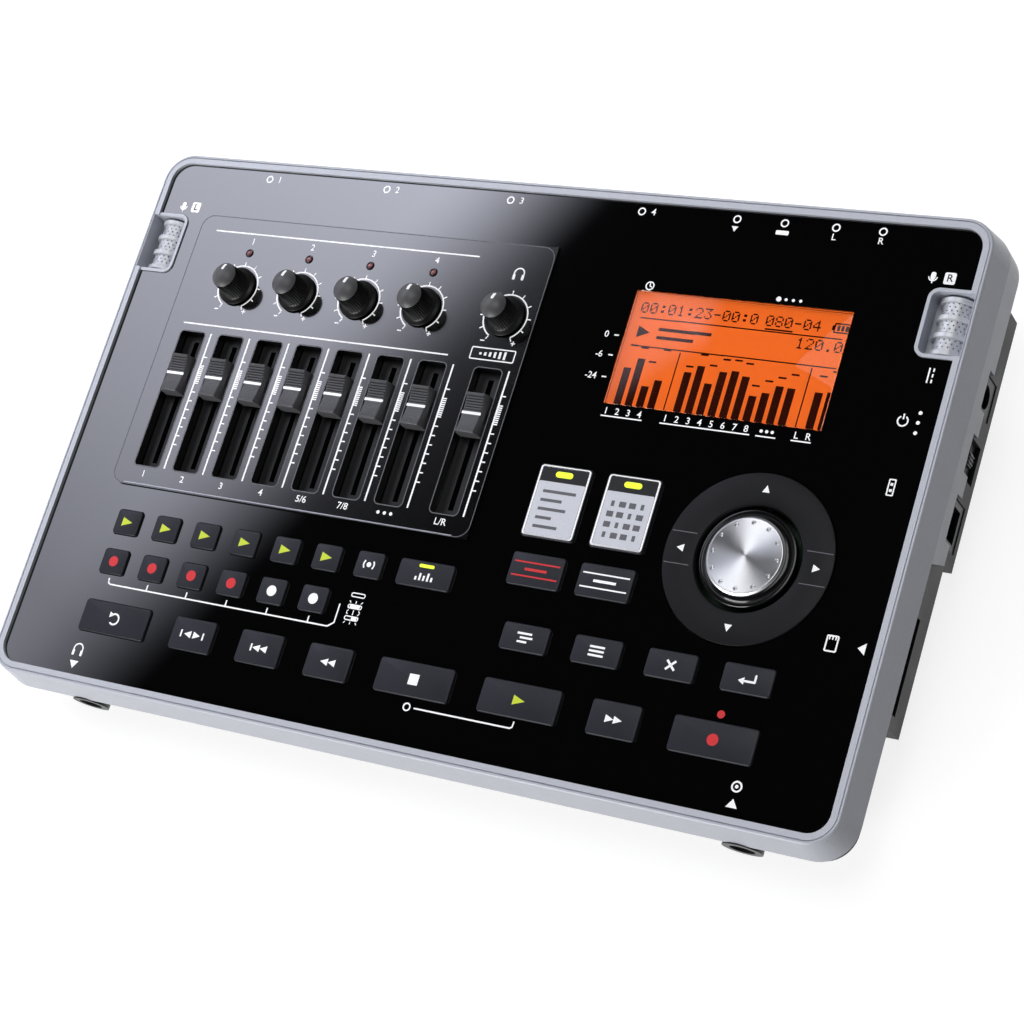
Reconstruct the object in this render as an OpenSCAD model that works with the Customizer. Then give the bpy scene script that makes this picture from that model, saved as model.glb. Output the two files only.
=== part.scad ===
// Desk-top multitrack recorder: a sloping control panel in a silver case on a black tray.
// Panel pieces are drawn on the panel's own plane: x right, y towards the rear, z out of the face.

/* [Panel] */
// Width of the gloss panel
panel_w = 249.1; // [240:0.1:260]
// Depth of the gloss panel along its slope
panel_d = 155.2; // [152:0.1:162]
// Corner radius of the panel
panel_r = 5.5; // [4:0.1:9]
// Thickness of the panel
panel_t = 2; // [1.6:0.1:2.4]
// Slope of the panel
panel_tilt = 8; // [6:0.1:9]
// Height of the panel's centre above the table
panel_height = 34.2; // [33:0.1:40]
// Height of the raised mixer field over the gloss face
field_rise = 0.7; // [0.3:0.1:1.2]
// Width of the mixer field
field_w = 117.7; // [112:0.1:119]
// Depth of the mixer field
field_d = 84; // [80:0.1:88]
// Centre of the mixer field, left to right
field_x = -49.65; // [-52:0.05:-48]
// Centre of the mixer field, front to rear
field_y = 20.2; // [18:0.1:22]
// Radius of the mixer field's left corners
field_r = 4; // [2:0.5:6]

/* [Upper case] */
// Width of the silver rim
rim_w = 2.8; // [2.4:0.1:4]
// Height of the rim over the panel's face
rim_rise = 0.9; // [0.4:0.1:1.5]
// Rounding of the rim's outer edge
rim_r = 0.8; // [0.4:0.1:1]
// Width and depth of the fine groove in the rim
groove_w = 0.35; // [0.2:0.05:0.4]
// Distance of the groove from the panel's edge
groove_in = 1.6; // [1:0.1:1.6]
// Drop of the silver wall below the panel's face
wall_drop = 9.2; // [8:0.1:11]
// Outward flare of the silver wall
wall_flare = 1.5; // [0.8:0.1:2.5]
// Thickness of the case walls
wall_t = 2; // [1.6:0.1:2.4]
// Width of the ledge under the panel's edge
ledge_w = 2.4; // [2:0.1:3]
// Thickness of the ledge
ledge_t = 1.6; // [1.2:0.1:2]
// Clearance between parts that fit together
fit_gap = 0.15; // [0.05:0.05:0.25]
// Width of a microphone tub
tub_w = 9.7; // [9:0.1:11]
// Length of a microphone tub
tub_l = 16.8; // [15:0.1:19]
// Depth of a microphone tub
tub_depth = 5.4; // [4.5:0.1:6]
// Front-to-rear centre of the microphone tubs
tub_y = 52.1; // [48:0.1:56]
// Wall of a microphone tub
tub_wall = 0.9; // [0.7:0.1:1.2]
// Radius of a tub's inner corners
tub_r = 2; // [1.5:0.1:2.2]
// Radius of a microphone grille
grille_r = 4.9; // [4.5:0.1:5]
// Distance of a grille's axis from the middle of its tub, towards the rim
grille_out = 0.9; // [0.8:0.1:1]
// Gap between a grille's ends and its tub
grille_end = 0.6; // [0.5:0.1:0.9]
// Hoops round a grille
hoops = 4; // [3:1:5]
// Width of a hoop
hoop_w = 1.6; // [1:0.1:2]
// Height of a hoop over the grille's mesh
hoop_rise = 0.5; // [0.3:0.1:0.8]

/* [Lower case] */
// Depth of the black tray below the silver wall
tray_depth = 12; // [11.8:0.1:12.4]
// Setback of the tray under the silver wall
tray_lip = 0.8; // [0.4:0.1:1.5]
// Setback of the tray's bottom edge
tray_inset = 5.8; // [4.6:0.1:6.4]
// Setback of the rear wall under the silver wall
rear_inset = 3.5; // [2.5:0.1:5]
// Setback of the deep part's sides
deep_inset = 17.5; // [15:0.1:18]
// Setback of the deep part's front
deep_front = 19.5; // [18.5:0.5:24]
// Corner radius of the deep part
deep_r = 8; // [4:0.5:8]
// Setback of the socket wall on the right side
bulge_inset = 1.2; // [1:0.1:1.6]
// Front end of the socket wall
bulge_front = -47; // [-48:0.5:-47]
// Rear end of the socket wall
bulge_rear = 66; // [64:0.5:66]
// Front end of the deeper part of the socket wall
block_front = -2; // [-3:0.5:-1]
// Depth of that part below the tray's bottom
block_deep = 6.4; // [6.2:0.1:7]
// Front end of the silver apron over the sockets, at its top
apron_front = -6; // [-7:0.5:-5]
// Slant of the apron's front end
apron_slant = 3; // [1:0.5:4]
// Depth of the apron below the silver wall
apron_h = 8.7; // [8:0.1:9]
// Thickness of the apron
apron_t = 1.2; // [1:0.1:1.2]
// Height of the rubber feet
foot_h = 2; // [1.5:0.1:3]
// Radius of the rubber feet
foot_r = 6.5; // [5:0.5:8]
// Side setback of the feet from the deep part's edge
foot_x_inset = 14; // [12:0.5:18]
// Front and rear setback of the feet from the deep part's edge
foot_y_inset = 12; // [10:0.5:14]
// Side setback of the outer screw posts
post_side = 13; // [12.5:0.1:14]
// Setback of the front screw posts
post_front = 13.2; // [12.8:0.1:13.4]
// Setback of the rear screw posts
post_rear = 8.8; // [8.6:0.1:10]
// Distance of the middle front posts from the case's middle
post_mid = 75.4; // [75.3:0.1:75.6]
// Radius of the screw posts
post_r = 3.5; // [3:0.1:3.6]
// Radius of the case screws
screw_r = 1.3; // [1:0.1:1.5]
// Radius of the screw heads
screw_head_r = 2.6; // [2.2:0.1:2.9]
// Height of the screw heads
screw_head_h = 1.8; // [1.4:0.1:2.2]
// Length of a case screw above the lower edge of the silver wall
screw_bite = 5; // [4:0.5:5.5]
// Depth of the tapped hole past the screw's end
screw_spare = 0.3; // [0.2:0.1:0.5]

/* [Battery bay] */
// Length of one cell
cell_l = 50.5; // [50:0.1:51]
// Radius of one cell
cell_r = 7.25; // [7:0.05:7.4]
// Gap between neighbouring cells
cell_gap = 0.4; // [0.3:0.1:0.8]
// Radius of a cell's end contact
cell_tip_r = 2.75; // [2.5:0.05:3]
// Height of a cell's end contact
cell_tip_h = 0.6; // [0.4:0.1:1]
// Gap between the cells and the battery cover
cell_seat = 0.3; // [0.2:0.05:0.5]
// Front-to-rear centre of the bay
bay_y = -12; // [-16:0.5:-8]
// Room at each end of a row for its contacts
contact_room = 3; // [2:0.5:4]
// Thickness of the battery cover
cover_t = 1.8; // [1.4:0.1:2]
// Gap round the battery cover
cover_gap = 0.4; // [0.3:0.1:0.6]
// Margin of the battery cover round the cells
cover_edge = 2; // [1.5:0.1:3]
// Swing clearance between a cover lug and the floor
lug_gap = 0.4; // [0.3:0.1:0.6]
// Width of a cover lug
lug_w = 10; // [8:0.5:14]
// Thickness of a cover lug
lug_t = 1.2; // [1:0.1:1.6]
// Reach of a cover lug over the floor
lug_reach = 2.4; // [2:0.1:2.8]
// Distance of a lug from the cover's middle
lug_x = 38; // [30:0.5:44]
// Thickness of the neck between the cover and a lug
lug_neck = 2; // [1.5:0.1:2.5]
// Room between a lug's end and the bay's wall
lug_room = 1; // [0.5:0.1:2]
// Height of the bay's walls
bay_wall_h = 10.9; // [8:0.1:12]

/* [Keys] */
// Height of the key tops over the panel
key_rise = 0.8; // [0.5:0.1:1.5]
// Travel of a key
key_travel = 0.6; // [0.4:0.1:0.8]
// Gap round a key
key_gap = 0.2; // [0.15:0.05:0.3]
// Corner radius of a key
key_r = 0.9; // [0.5:0.1:1.2]
// Width of the flange that keeps a key in its hole
key_flange = 0.8; // [0.5:0.1:1]
// Thickness of that flange
key_flange_t = 0.8; // [0.6:0.1:1]
// Play between that flange and the panel
key_play = 0.05; // [0.02:0.01:0.1]
// Gap between a pressed key's stem and its switch
key_stop = 0.1; // [0.05:0.05:0.2]
// Width of the bevel round a key's top
key_bevel = 0.35; // [0.2:0.05:0.5]
// Radius of a key's stem
stem_r = 1.2; // [1:0.1:1.4]
// Width of a track key
track_key_w = 8.3; // [7.5:0.1:9]
// Depth of a track, menu or effect key
small_key_d = 7.2; // [6.5:0.1:8]
// Width of the effect key
effect_key_w = 16.5; // [15:0.1:17.5]
// Width of a menu key
menu_key_w = 13.4; // [12:0.1:15]
// Width of a wide transport key
wide_key_w = 22.4; // [20:0.1:23]
// Width of a narrow transport key
narrow_key_w = 13.6; // [12:0.1:15]
// Depth of a transport key
transport_key_d = 9.1; // [8.5:0.1:10]
// Width of a mode key and of a pad
mode_key_w = 15.3; // [14:0.1:16]
// Depth of a mode key
mode_key_d = 8.8; // [8:0.1:9.5]
// Depth of a pad
pad_d = 20; // [18:0.1:21]
// First track key, left to right
track_key_x = -97.5; // [-98:0.1:-97]
// Row of the play, tap and effect keys, front to rear
play_row = -32.8; // [-33:0.1:-32.4]
// Row of the record and menu keys, front to rear
rec_row = -44.5; // [-45:0.1:-44]
// Row of the transport keys, front to rear
transport_row = -60.5; // [-60.6:0.1:-60]
// Row of the mode keys, front to rear
mode_row = -26.8; // [-27.2:0.1:-26.4]
// Row of the pads, front to rear
pad_row = -8.1; // [-8.6:0.1:-7.6]
// First mode key and pad, left to right
mode_x = 31.4; // [31:0.1:32]
// Distance between the mode keys
mode_pitch = 19.8; // [19.4:0.1:20]
// First menu key, left to right
menu_x = 34; // [33.5:0.1:34.5]
// Distance between the menu keys
menu_pitch = 20.5; // [20.3:0.1:20.7]
// Effect key, left to right
effect_x = 0.3; // [-0.3:0.1:0.6]
// Retry key, left to right
retry_x = -90.6; // [-91:0.1:-90]
// Repeat key, left to right
repeat_x = -63.9; // [-64.5:0.1:-63.5]
// Zero key, left to right
zero_x = -41.8; // [-42.5:0.1:-41]
// Rewind key, left to right
rewind_x = -19.8; // [-20.5:0.1:-19]
// Stop key, left to right
stop_x = 6.7; // [6:0.1:7.5]
// Play key, left to right
play_x = 37.7; // [37:0.1:38.5]
// Forward key, left to right
forward_x = 64.3; // [63.5:0.1:65]
// Record key, left to right
record_x = 91; // [90:0.1:91.5]

/* [Faders and knobs] */
// Distance between neighbouring faders and track keys
pitch = 13.42; // [13:0.01:13.5]
// First fader, left to right
fader_x = -98; // [-98.4:0.1:-97.8]
// Master fader and level knob, left to right
master_x = -0.2; // [-0.4:0.1:0]
// First gain knob, left to right
knob_x = -88.35; // [-89:0.05:-88]
// Distance between the gain knobs
knob_pitch = 20.6; // [20.2:0.01:20.7]
// Width of a fader slot
slot_w = 8.4; // [8:0.1:8.8]
// Length of a fader slot
slot_l = 41.4; // [40:0.1:43]
// Front-to-rear centre of the fader slots
slot_y = 4.9; // [4:0.1:6]
// Where the faders stand, front to rear
fader_y = 12.1; // [11.8:0.05:13]
// Width of a fader cap at the slot
cap_w = 7; // [6.4:0.1:7.4]
// Width of a fader cap's top
cap_top_w = 5.3; // [5:0.1:6]
// Length of a fader cap
cap_l = 11.3; // [10.5:0.1:12.5]
// Height of a fader cap's ends over the mixer field
cap_h = 2.7; // [2.4:0.1:6]
// Depth of the valley across a fader cap
cap_valley = 1.05; // [0.6:0.05:1.6]
// Height of a fader cap's upright foot over the mixer field
cap_foot = 0.4; // [0.2:0.1:0.8]
// Height of a fader cap's underside over the panel's underside
cap_low = 0.6; // [0.4:0.1:1]
// Thickness of a fader lever
lever_t = 1; // [0.8:0.1:1.2]
// Width of a fader lever
lever_w = 4; // [3:0.1:5]
// Side gap between a lever and its slide potentiometer
lever_gap = 0.3; // [0.25:0.05:0.4]
// Reach of a fader lever short of the board
lever_short = 2; // [1.6:0.1:3]
// Gap between the panel and the potentiometers
pot_gap = 0.4; // [0.3:0.05:0.5]
// Gap between a slide potentiometer and its slot's sides
pot_side = 0.2; // [0.1:0.05:0.4]
// Length of a slide potentiometer past its slot, and of its closed ends
pot_end = 2; // [1:0.1:2.5]
// Floor of a potentiometer under its lever or shaft
pot_floor = 1; // [0.8:0.1:1.2]
// Width of a rotary potentiometer
rotary_w = 10; // [9:0.1:11]
// Depth of a rotary potentiometer
rotary_d = 11; // [10:0.1:12]
// Radius of a knob's foot
knob_r = 5.7; // [5:0.1:6]
// Radius of a knob's top
knob_top_r = 3.7; // [3.5:0.1:4.5]
// Height of a knob
knob_h = 9.2; // [7.6:0.1:12]
// Gap between a knob and the mixer field
knob_gap = 0.35; // [0.3:0.05:0.5]
// Height of a knob's domed top
knob_dome = 1.8; // [1.4:0.1:3.2]
// Thickness of a knob's foot flange
knob_flange_t = 0.6; // [0.4:0.1:0.8]
// Radius of a knob's grip over its flare
knob_grip_r = 4.2; // [4:0.1:4.6]
// Height of a knob's flare
knob_flare_h = 1.8; // [1.2:0.1:2.2]
// Flutes round a knob
knob_flutes = 24; // [18:1:26]
// Radius of a flute
flute_r = 0.35; // [0.3:0.05:0.4]
// Distance of a flute's axis outside the foot of the grip
flute_out = 0.15; // [0.1:0.05:0.2]
// Gap round a knob's shaft in the panel
shaft_hole = 1; // [0.4:0.1:1.5]
// Gap under a shaft's end
shaft_seat = 0.4; // [0.2:0.1:0.6]
// Radius of a knob's shaft
shaft_r = 2; // [1.5:0.1:2.5]
// Running clearance of a shaft in its bush
bush_gap = 0.06; // [0.04:0.01:0.08]
// Front-to-rear place of the knobs
knob_y = 40.7; // [40:0.1:42]

/* [Dial and ring] */
// Dial centre, left to right
dial_x = 86.6; // [86:0.1:87]
// Dial centre, front to rear
dial_y = -14.6; // [-15:0.1:-14]
// Outer radius of the cursor ring
ring_r = 22.4; // [22:0.1:22.6]
// Inner radius of the cursor ring
ring_hole_r = 13.8; // [13.5:0.1:14]
// Height of the ring over the panel
ring_rise = 0.5; // [0.4:0.1:1]
// Gap between the ring and the panel
ring_gap = 0.35; // [0.3:0.05:0.4]
// Thickness of the cursor ring
ring_t = 2.1; // [1.8:0.1:2.4]
// Height of the gimbal's pivots below the panel's face
pivot_drop = 4.6; // [4.4:0.1:4.8]
// Radius of the gimbal's pivot pins
pivot_r = 0.8; // [0.6:0.1:0.9]
// Setback of the gimbal from the ring's outer edge
gimbal_out = 2.4; // [2.2:0.1:2.6]
// Setback of the gimbal from the ring's hole
gimbal_in = 3; // [2.8:0.1:3.4]
// Length of a pin's root inside the gimbal
pin_root = 1; // [0.8:0.1:1.4]
// Thickness of a bearing block of the gimbal
block_t = 2; // [1.6:0.1:2.2]
// Width of a bearing block
block_w = 4; // [3:0.1:5]
// Gap between a bearing block and the ring's opening
block_gap = 0.2; // [0:0.1:0.4]
// Height of a block below its pin's axis
block_foot = 1.2; // [1.2:0.1:1.6]
// Thickness of the ring's ears
ear_t = 1.5; // [1.2:0.1:1.7]
// Width of the ring's ears
ear_w = 3.4; // [3:0.1:4]
// Distance of the ears from the ring's hole
ear_in = 0.7; // [0.6:0.1:0.8]
// Height of an ear below its pin's axis
ear_foot = 1.6; // [1.4:0.1:2]
// Thickness of the gimbal
gimbal_t = 1.6; // [1.6:0.1:2]
// Radius of the jog dial's skirt
skirt_r = 12.6; // [12:0.1:12.8]
// Radius of the jog dial's metal top
dial_r = 10.3; // [9.5:0.1:10.6]
// Height of the jog dial over the panel
dial_rise = 2.4; // [2:0.1:4]
// Radius of the jog dial's shaft
dial_shaft_r = 3; // [2.5:0.1:3.2]
// Depth of the jog dial's underside below the panel's face
dial_low = 1.4; // [1.2:0.1:1.8]
// Height of the skirt's edge over the panel
skirt_rise = 0.4; // [0.2:0.1:0.8]
// Height of the neck between the skirt and the metal top
neck_rise = 1.2; // [1:0.1:1.5]
// Width of the neck's foot past the metal top
neck_out = 0.5; // [0.3:0.1:0.8]
// Chamfer round the metal top
dial_edge = 0.3; // [0.2:0.05:0.4]
// Width of the dial's encoder
encoder_w = 13; // [12:0.1:14]
// Depth of the encoder's top below the panel's face
encoder_drop = 3.6; // [3.2:0.1:4]
// Dimples round the jog dial
dimples = 12; // [8:1:16]
// Radius of a dimple
dimple_r = 0.6; // [0.4:0.05:0.8]
// Height of a dimple's centre over the metal top
dimple_lift = 0.24; // [0.1:0.02:0.3]
// Radius of the circle of dimples
dimple_pcr = 8.7; // [7.5:0.1:8.8]

/* [Display and board] */
// Width of the display window
lcd_w = 60.8; // [58:0.1:63]
// Depth of the display window
lcd_d = 32.3; // [31:0.1:34]
// Window centre, left to right
lcd_x = 65.7; // [64:0.1:67]
// Window centre, front to rear
lcd_y = 36.65; // [36:0.05:37]
// Border of the display module round its window
lcd_border = 4; // [3:0.1:5]
// Depth of the main board's top below the panel's face
board_drop = 8.2; // [8.2:0.1:8.6]
// Thickness of the main board
board_t = 1.6; // [1.2:0.1:1.6]
// Gap between the main board and the outer screw posts
board_gap = 1.5; // [1:0.1:2]
// Setback of the main board's front and rear edges
board_in = 17; // [16.6:0.1:18]
// Gap round a front jack in the board
board_notch = 1; // [0.5:0.1:1]
// Radius of a key switch on the board
switch_r = 1.6; // [1.2:0.1:2]
// Height of a key switch over the board
switch_h = 1; // [0.8:0.1:1.2]
// Radius of a switch under the cursor ring
ring_switch_r = 0.7; // [0.5:0.05:0.8]
// Setback of those switches from the ring's edge
ring_switch_in = 1; // [0.8:0.1:1.2]
// Gap between those switches and the tilted ring
ring_switch_gap = 0.3; // [0.2:0.05:0.4]
// Angle by which the side switches stand clear of the gimbal's pins
ring_switch_turn = 10; // [8:1:16]
// Radius of the bosses that hold the board under the panel
boss_r = 2.5; // [2:0.1:2.6]
// Middle bosses, left to right
boss_mid_x = 17; // [15:0.1:18]
// Middle bosses, front to rear
boss_mid_y = -20; // [-22:0.1:-19]
// Front bosses, front to rear
boss_front_y = -45; // [-47:0.1:-44]

/* [Sockets] */
// Radius of a 6.35 mm jack's bore
jack_r = 3.25; // [3.2:0.01:3.3]
// Radius of a 3.5 mm jack's bore
mini_jack_r = 1.8; // [1.76:0.01:1.85]
// Length of a 6.35 mm jack's bore
jack_bore = 17; // [15:0.5:20]
// Length of a 3.5 mm jack's bore
mini_bore = 10; // [8:0.5:11]
// Radius of a jack's collar
collar_r = 5.2; // [4.8:0.1:5.6]
// Reach of the front collars past the silver wall
collar_proud = 0.25; // [0.1:0.05:1]
// Depth of the front jacks below the panel's face
jack_drop = 13.6; // [13.4:0.1:14.2]
// Sideways place of the front jacks
front_jack_x = 99.8; // [99.5:0.1:101]
// Length of a front jack's collar
front_collar_l = 14; // [13:0.5:15]
// Length of a jack's body
jack_body_l = 25; // [23:0.5:27]
// Half width of a jack's body
jack_body_r = 5.2; // [4.8:0.1:5.3]
// Length of a 3.5 mm jack's body
mini_body_l = 15; // [13:0.5:17]
// Half width of a 3.5 mm jack's body
mini_body_r = 4; // [3.5:0.1:4.5]
// Line input, left to right
line_in_x = 57.5; // [57.3:0.1:57.8]
// Pedal jack, left to right
pedal_x = 70.9; // [70:0.1:71.5]
// Radius of a large input's flange
input_r = 12.6; // [12:0.1:13]
// Radius of a large input's barrel
barrel_r = 11.5; // [11:0.1:11.7]
// Depth of a large input's barrel
barrel_l = 24; // [22:0.5:25]
// Radius of the round well in a large input
well_r = 9.4; // [8:0.1:10]
// Depth of that well
well_depth = 2.4; // [2:0.1:2.6]
// Thickness of a rear socket's flange
flange_t = 1.5; // [1:0.1:2]
// First large input, left to right
input_x = -88.9; // [-89.5:0.1:-88]
// Distance between large inputs
input_pitch = 40.2; // [40:0.1:40.5]
// Height of the rear sockets over the table
rear_socket_z = 18.5; // [18:0.1:19]
// Radius of a phono socket's sleeve
phono_r = 4.15; // [4:0.05:4.3]
// Length of a phono socket's sleeve
phono_l = 6.6; // [6:0.1:9]
// Radius of the insulating seat round that sleeve
phono_seat_r = 5; // [4.6:0.1:5.6]
// Radius of a phono socket's hole
phono_hole_r = 1.7; // [1.5:0.1:1.9]
// Width of a phono socket's body
phono_body_w = 10.4; // [9.5:0.1:11]
// Height of a phono socket's body
phono_body_h = 12; // [11:0.1:14]
// Length of a phono socket's body
phono_body_l = 10; // [8:0.5:14]
// First phono socket, left to right
phono_x = 85.1; // [84.5:0.1:85.6]
// Distance between the phono sockets
phono_pitch = 12.7; // [12:0.1:13]
// Width of the data socket
data_w = 12; // [11.5:0.1:12.5]
// Height of the data socket
data_h = 10.9; // [10.5:0.1:11]
// Width and height of a socket box's rim
data_rim = 1.7; // [1.4:0.1:1.8]
// Depth of the data socket's opening
data_depth = 10; // [8:0.5:10.5]
// Data socket, front to rear
data_y = 8.1; // [7.8:0.1:9]
// Power inlet, front to rear
inlet_y = 42.1; // [41:0.1:43]
// Depth of the power inlet's hole
inlet_depth = 9; // [7:0.5:10]
// Distance of the power inlet's pin from its mouth
inlet_pin_back = 2; // [1:0.5:3]
// Width of the power inlet
inlet_w = 10; // [9:0.1:11]
// Height of the power inlet
inlet_h = 10.4; // [10:0.1:10.8]
// Radius of the power inlet's hole
inlet_r = 3.1; // [3:0.05:3.2]
// Radius of the power inlet's pin
inlet_pin_r = 1; // [0.9:0.05:1.1]
// Depth of the sockets on the right side
edge_socket_l = 12.5; // [11:0.5:13]
// Middle of the right-side sockets below the panel's face
edge_drop = 19.8; // [19.6:0.1:20]
// Setback of the right-side sockets from the case's side
edge_back = 1.5; // [1.3:0.1:1.8]
// Memory card slot, front to rear
card_y = -31; // [-31.3:0.1:-30.5]
// Depth of the card slot's top below the panel's face
card_drop = 12; // [11.4:0.1:12.6]
// Length of the card reader's slot
card_l = 24; // [22:0.5:26]
// Wall of the card reader
card_wall = 1.2; // [1:0.1:1.5]
// Width of the memory card slot
card_w = 24.6; // [24.4:0.1:25]
// Height of the memory card slot
card_h = 2.7; // [2.4:0.1:3]
// Travel of the power switch each way from its middle
switch_travel = 2; // [1.5:0.1:2.2]
// Power switch, front to rear
switch_y = 25.2; // [25:0.1:26]
// Setback of the power switch's housing from its neighbours
housing_back = 1; // [0.6:0.1:1.4]
// Depth of the power switch's slot
switch_slot = 4; // [3:0.1:5]
// Gap round the power switch's knob
switch_gap = 0.3; // [0.2:0.05:0.4]
// Spare length at each end of the power switch's slot
switch_spare = 0.5; // [0.3:0.1:0.6]
// Reach of the power switch's knob past its neighbours
switch_proud = 0.4; // [0.2:0.1:0.6]
// Distance between the ribs on the power switch's knob
switch_rib_pitch = 1; // [0.8:0.1:1.2]
// Width of a rib
switch_rib_w = 0.4; // [0.3:0.1:0.6]
// Height of a rib
switch_rib_h = 0.3; // [0.1:0.1:0.3]
// Width of the power switch's knob
switch_w = 3.4; // [3:0.1:4]
// Height of the power switch's knob
switch_knob_h = 3; // [2.5:0.1:3.5]

/* [Hidden] */
$fn = 64;
EPS = 0.01;
OVER = 1;
FAR = 400;
// Panel size on which the places of the controls and sockets are given
LAYOUT = [249.1, 155.2];
// Places left to right and front to rear, which keep their share of the panel
function across(x) = x * panel_w / LAYOUT[0];
function along(y) = y * panel_d / LAYOUT[1];
case_out = fit_gap + rim_w + wall_flare;
half_w = panel_w / 2 + case_out;
half_d = panel_d / 2 + case_out;
tray_z = wall_drop + tray_depth;
rear_wall = (half_d - rear_inset) * cos(panel_tilt) + wall_drop * sin(panel_tilt);
rear_reach = rear_wall + phono_l;
collar_front = half_d + collar_proud;
front_reach = collar_front * cos(panel_tilt) - (jack_drop - collar_r) * sin(panel_tilt);
panel_y = (front_reach - rear_reach) / 2;
rear_y = panel_y + rear_wall;
rear_tray = (rear_wall - tray_z * sin(panel_tilt)) / cos(panel_tilt);
deep_half_w = half_w - deep_inset;
deep_y0 = panel_y - half_d + deep_front;
floor_z = foot_h + wall_t;
track_xs = [for (i = [0:6]) across(track_key_x + pitch * i)];
mode_xs = [across(mode_x), across(mode_x + mode_pitch)];
phono_xs = [across(phono_x), across(phono_x) + phono_pitch];
input_xs = [for (i = [0:3]) across(input_x + input_pitch * i)];
line_in_at = across(line_in_x);
pedal_at = across(pedal_x);
front_jack_at = across(front_jack_x);
master_at = across(master_x);
dial_at = [across(dial_x), along(dial_y), 0];
lcd_at = [across(lcd_x), along(lcd_y), 0];
field_at = [across(field_x), along(field_y), 0];
slot_at = along(slot_y);
fader_at = along(fader_y);
knob_at = along(knob_y);
tub_at = along(tub_y);
play_at = along(play_row);
rec_at = along(rec_row);
card_at = along(card_y);
data_at = along(data_y);
switch_at = along(switch_y);
inlet_at = along(inlet_y);
bulge_y0 = along(bulge_front);
bulge_y1 = along(bulge_rear);
block_y0 = along(block_front);
apron_y0 = along(apron_front);
block_z = tray_z + block_deep;
FADERS = concat(
    [for (i = [0:5]) [str("track_fader_", i + 1), across(fader_x + pitch * i)]],
    [["rhythm_fader", across(fader_x + pitch * 6)], ["master_fader", master_at]]
);
KNOBS = concat(
    [for (i = [0:3]) [str("gain_knob_", i + 1), across(knob_x + knob_pitch * i)]],
    [["level_knob", master_at]]
);
// Each transport key: name, place left to right, width
TRANSPORT = [
    ["retry_key", retry_x, wide_key_w], ["repeat_key", repeat_x, narrow_key_w],
    ["zero_key", zero_x, narrow_key_w], ["rewind_key", rewind_x, narrow_key_w],
    ["stop_key", stop_x, wide_key_w], ["play_key", play_x, wide_key_w],
    ["forward_key", forward_x, narrow_key_w], ["record_key", record_x, wide_key_w]
];
menu_names = ["track_key", "menu_key", "exit_key", "enter_key"];
// Each key: name, place left to right, place front to rear, width, depth
KEYS = concat(
    [for (i = [0:5]) [str("track_play_key_", i + 1), track_xs[i], play_at, track_key_w, small_key_d]],
    [for (i = [0:5]) [str("track_rec_key_", i + 1), track_xs[i], rec_at, track_key_w, small_key_d]],
    [
        ["tap_key", track_xs[6], play_at, track_key_w, small_key_d],
        ["effect_key", across(effect_x), play_at, effect_key_w, small_key_d],
        ["mode_key_left", mode_xs[0], along(mode_row), mode_key_w, mode_key_d],
        ["mode_key_right", mode_xs[1], along(mode_row), mode_key_w, mode_key_d],
        ["pad_left", mode_xs[0], along(pad_row), mode_key_w, pad_d],
        ["pad_right", mode_xs[1], along(pad_row), mode_key_w, pad_d]
    ],
    [for (i = [0:3]) [menu_names[i], across(menu_x + menu_pitch * i), rec_at, menu_key_w, small_key_d]],
    [for (t = TRANSPORT) [t[0], across(t[1]), along(transport_row), t[2], transport_key_d]]
);
// Screw posts at the case's edge
post_x = half_w - post_side;
front_post_y = post_front - half_d * cos(panel_tilt);
rear_post_y = half_d * cos(panel_tilt) - post_rear;
POSTS = concat(
    [for (x = [post_x, across(post_mid)], s = [-1, 1]) [s * x, front_post_y]],
    [for (s = [-1, 1]) [s * post_x, rear_post_y]],
    [for (i = [0, 2]) [(input_xs[i] + input_xs[i + 1]) / 2, rear_post_y]]
);
// The main board, and the bosses that hang it under the panel
board_half_w = post_x - post_r - board_gap;
board_half_d = half_d - board_in;
boss_x = board_half_w - boss_r;
boss_y = board_half_d - boss_r;
BOSSES = concat(
    [for (x = [-boss_x, across(boss_mid_x), boss_x], y = [along(boss_front_y), boss_y]) [x, y]],
    [for (x = [-boss_x, across(boss_mid_x)]) [x, along(boss_mid_y)]]
);
// Heights at a distance behind the panel's centre: the case's split, and the screw heads' seat
function split_z(y) = panel_height + y * tan(panel_tilt) - wall_drop / cos(panel_tilt);
function seat_z(y) = panel_height + y * tan(panel_tilt) - (tray_z - wall_t) / cos(panel_tilt);
edge_face = half_w - edge_back;
card_front = half_w - bulge_inset - wall_t - fit_gap;
// Sockets in the right wall: place, width and height of each
INLET = [inlet_at, inlet_w, inlet_h];
SWITCH = [switch_at, inlet_w, inlet_h];
DATA = [data_at, data_w, data_h];
bay_w = 2 * cell_l + 3 * contact_room;
bay_d = 6 * cell_r + 4 * cell_gap;
cover_w = bay_w + 2 * cover_edge;
cover_d = bay_d + 2 * cover_edge;
pot_top = panel_t + pot_gap;
stem_end = board_drop - switch_h - key_travel - key_stop;
shaft_end = board_drop - pot_floor - shaft_seat;
lever_end = board_drop - lever_short;
pin_reach = ring_r + ring_gap + block_gap + block_t;

// Puts its children on the panel's plane
module on_panel() {
    translate([0, panel_y, panel_height]) rotate([panel_tilt, 0, 0]) children();
}

// Rectangle with round corners, centred
module rounded(w, d, r) {
    square([w - 2 * r, d], center = true);
    square([w, d - 2 * r], center = true);
    for (x = [-1, 1], y = [-1, 1]) translate([x * (w / 2 - r), y * (d / 2 - r)]) circle(r);
}

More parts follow.
